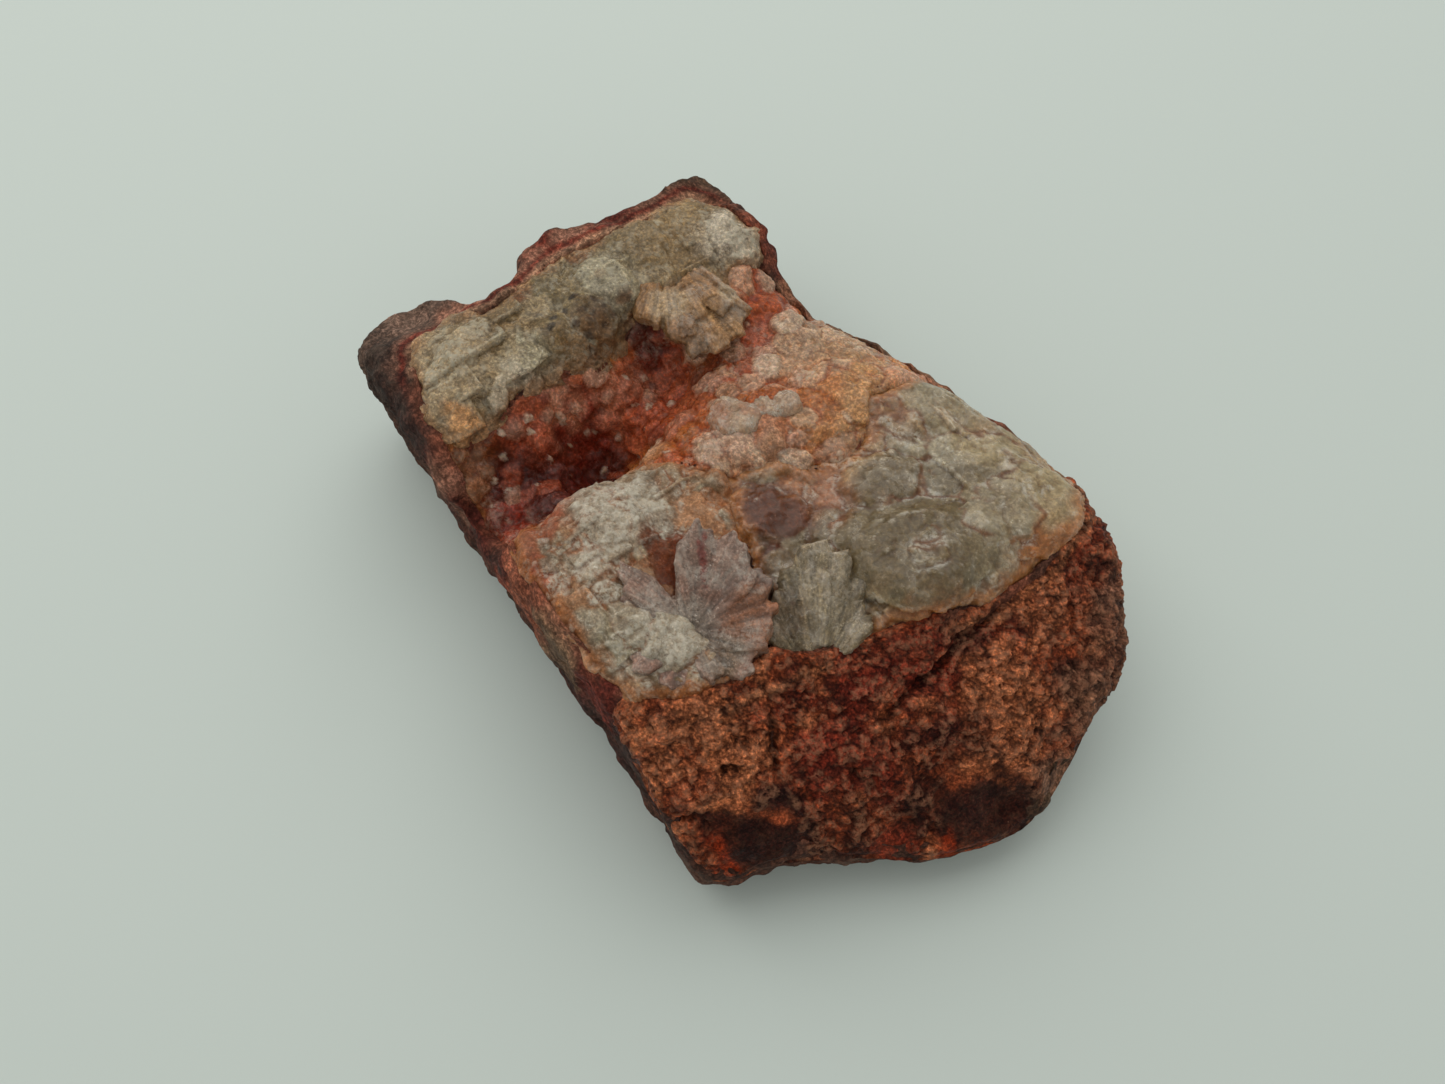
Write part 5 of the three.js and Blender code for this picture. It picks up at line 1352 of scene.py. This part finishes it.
def makeBlades(name, recipe, look):
    seed = recipe["seed"]
    random = np.random.default_rng(seed)
    shapes = [make(random, np.array(row[:3], float), *row[3:])
              for make, key in ((bladeShape, "blades"), (prismShape, "prisms"))
              for row in recipe[key]]
    piece = fused(name + "_surface", shapes, recipe["voxel"], 1)
    whose = [k for k, shape in enumerate(shapes) for _ in shape[0]]
    tree = KDTree(len(whose))
    for k, point in enumerate(np.concatenate([shape[0] for shape in shapes])):
        tree.insert(point, k)
    tree.balance()
    points, out = pointsOf(piece.data), normalsOf(piece.data)
    mine = np.array([whose[tree.find(point)[1]] for point in points])
    away = points - recipe["root"]
    fibre = np.column_stack([recipe["fan"] * np.arctan2(away[:, 1], away[:, 0]),
                             0.2 * np.linalg.norm(away, axis=1), mine * 3.7])
    ribs = rough(fibre, 1.2, 3, seed + 7)
    plane, _ = facets(points + 0.3 * rough(points, 1.5, 2, 620)[:, None], 2.0, seed + 5)
    lift = 0.1 * rough(points, 0.9, 3, seed) + recipe["break"] * plane + recipe["ribs"] * ribs
    setPoints(piece.data, points + out * lift[:, None])
    tint = painted(points, recipe["palette"], recipe["base"], recipe["marks"], 0.6, seed + 90)
    tint *= (0.84 + 0.32 * random.random(len(shapes)))[mine][:, None]
    tint *= (1 + 0.25 * np.clip(ribs, -1, 1))[:, None]
    setTint(piece.data, tint)
    setAttribute(piece.data, "frost", recipe["frost"] * fade(0.4 + 0.9 * rough(points, 2.5, 3, 77)))
    setAttribute(piece.data, "fibre", fibre)
    finished(piece, stoneMaterial(recipe["material"], look), [name])


# Clear quartz: see-through, faintly pink, a little frost on top.
clearLook = {
    "paintedHighlight": "#f2ece0", "cloudSize": 2.5, "cloud": 0.1, "speckSize": 0.6, "speck": 0.14,
    "fineSize": 0.5, "fine": 0.26, "veilSize": 3, "veil": 0.3, "frostSize": 0.8,
    "frostColour": "#e2d8c6", "gloss": (0.05, 0.2), "shine": 0.5, "glow": 0.5,
    "glowRadius": (1, 0.8, 0.7), "glowDepth": 1.4, "clear": 0.45, "bumpSize": 0.9, "bump": 0.6,
    "facetSize": 1.8, "facetTilt": 0.45, "paintedGlints": 1, "lines": 0.6, "cracks": 0.3, "dirt": 0.3,
    "dirtColour": "#8a5a40",
}
clearBlocks = {
    "seed": 12, "step": 0.2, "thick": 1.2, "base": "glass",
    "palette": {"glass": "#d4b697", "blush": "#c07c50"},
    "marks": [("blush", -9.6, -2.2, 3, 0.7), ("blush", -7.4, 3.6, 1.6, 0.5)],
    "placed": [  # x, y, width, breadth, height, turn in degrees
        (-8.7, 0.9, 8.4, 7.8, 2.6, 25), (-6.8, 5.6, 5, 4.4, 2.0, 48), (-5.6, 8.6, 4.6, 4.4, 2.4, 8),
    ],
}


def makeClear():
    random = np.random.default_rng(clearBlocks["seed"])
    crystals = [crystalAt(random, x, y, width, breadth, tall, math.radians(turn), "block", 8, 0.08)
                for x, y, width, breadth, tall, turn in clearBlocks["placed"]]
    nearness = np.max([width / 2 + 0.6 - np.hypot(gridX[None, :] - x, gridY[:, None] - y)
                       for x, y, width, _, _, _ in clearBlocks["placed"]], axis=0)
    sheet = openSheet(clearBlocks["step"], nearness, 0)
    lift, _, _, cap = grown(sheet, crystals, np.full(sheet["depth"].shape, -1.2))
    foot = sheet["foot"].reshape(-1, 3)
    plane, _ = facets(foot, 2.4, 400)
    chipped, _ = facets(foot, 1.2, 405)
    lift += (0.5 * plane + 0.2 * chipped + 0.06 * rough(foot, 1.2, 3, 410)).reshape(lift.shape)
    piece, used = closedSheet("clear_cluster_surface", sheet, (sheet["depth"] > 0) & (lift > -0.9),
                              lift, clearBlocks["thick"])
    foot, cap = foot[used.ravel()], cap[used]
    tint = painted(foot, clearBlocks["palette"], clearBlocks["base"], clearBlocks["marks"],
                   0.8, 420)
    # A band on the blocks' sides is frosted white, partly frost and partly a painted highlight on
    # the edges.
    edge = fade(cap / 0.3) * (1 - fade((cap - 0.9) / 0.08))
    frost = np.maximum(0.55 * fade(0.2 + 1.2 * rough(foot, 2, 3, 430)),
                       0.9 * edge * fade(0.5 + 1.2 * rough(foot, 1.6, 2, 431)))
    setTint(piece.data, np.concatenate([tint, tint]))
    setAttribute(piece.data, "frost", np.concatenate([frost, 0 * frost]))
    finished(piece, stoneMaterial("clear quartz", clearLook), ["clear_cluster"])


# Painted board: even, matt, no grain.
board = {"half": 3000, "colour": "#ccd6d0", "roughness": 0.7}
# A pale room and one window, high on the left.
light = {"room": "#f1f2ee", "roomStrength": 0.55, "size": (1300, 900), "watts": 4.2,
         "colour": (1, 0.985, 0.96), "place": (-400, 140, 640), "aim": (0, 0, 20)}
# The frame's upper edge lies towards the heading; lens and sensor are in their own mm.
view = {"eye": (64.5, -56.3, 198.5), "target": (3.5, -10.4, 27), "heading": 143, "lens": 31.18,
        "sensor": 36, "nearest": 5}


def makeFloor():
    corners = [(-1, -1, 0), (1, -1, 0), (1, 1, 0), (-1, 1, 0)]
    floor = newPiece("floor", np.array(corners, float) * board["half"], [[0, 1, 2, 3]])
    material = bpy.data.materials.new("pale painted board")
    material.use_nodes = True
    shader = material.node_tree.nodes["Principled BSDF"]
    shader.inputs["Base Color"].default_value = (*linearColour(board["colour"]), 1)
    shader.inputs["Roughness"].default_value = board["roughness"]
    floor.data.materials.append(material)
    print("floor")


def makeLight():
    world = bpy.data.worlds.new("pale room")
    bpy.context.scene.world = world
    world.use_nodes = True
    room = world.node_tree.nodes["Background"]
    room.inputs["Color"].default_value = (*linearColour(light["room"]), 1)
    room.inputs["Strength"].default_value = light["roomStrength"]
    area = bpy.data.lights.new("window", "AREA")
    area.shape = "RECTANGLE"
    area.size, area.size_y = (side * mm for side in light["size"])
    area.energy = light["watts"]
    area.color = light["colour"]
    lamp = bpy.data.objects.new("window", area)
    lamp.location = [c * mm for c in light["place"]]
    towards = Vector([c * mm for c in light["aim"]]) - lamp.location
    lamp.rotation_euler = towards.to_track_quat("-Z", "Y").to_euler()
    bpy.context.scene.collection.objects.link(lamp)
    print("light")


def makeCamera():
    eye, target = Vector(view["eye"]), Vector(view["target"])
    heading = math.radians(view["heading"])
    back = (eye - target).normalized()
    right = Vector((math.cos(heading), math.sin(heading), 0)).cross(back).normalized()
    up = back.cross(right)
    data = bpy.data.cameras.new("camera")
    data.sensor_width = view["sensor"]
    data.lens = view["lens"]
    data.clip_start = view["nearest"] * mm
    camera = bpy.data.objects.new("camera", data)
    turned = Matrix((right, up, back)).transposed().to_4x4()
    camera.matrix_world = Matrix.Translation(eye * mm) @ turned
    bpy.context.scene.collection.objects.link(camera)
    bpy.context.scene.camera = camera
    print("camera")


makeHost()
makeSlope()
for bed, look in ((pale, paleLook), (druse, druseLook), (mound, moundLook), (smoky, smokyLook)):
    growBed(bed, look)
for name, recipe in (("blade_rosette", rosette), ("blade_sheaf", sheaf), ("ledge_blades", ledge)):
    makeBlades(name, recipe, bladeLook)
makeClear()
makeFloor()
makeLight()
makeCamera()
bpy.context.scene.view_settings.view_transform = "Standard"
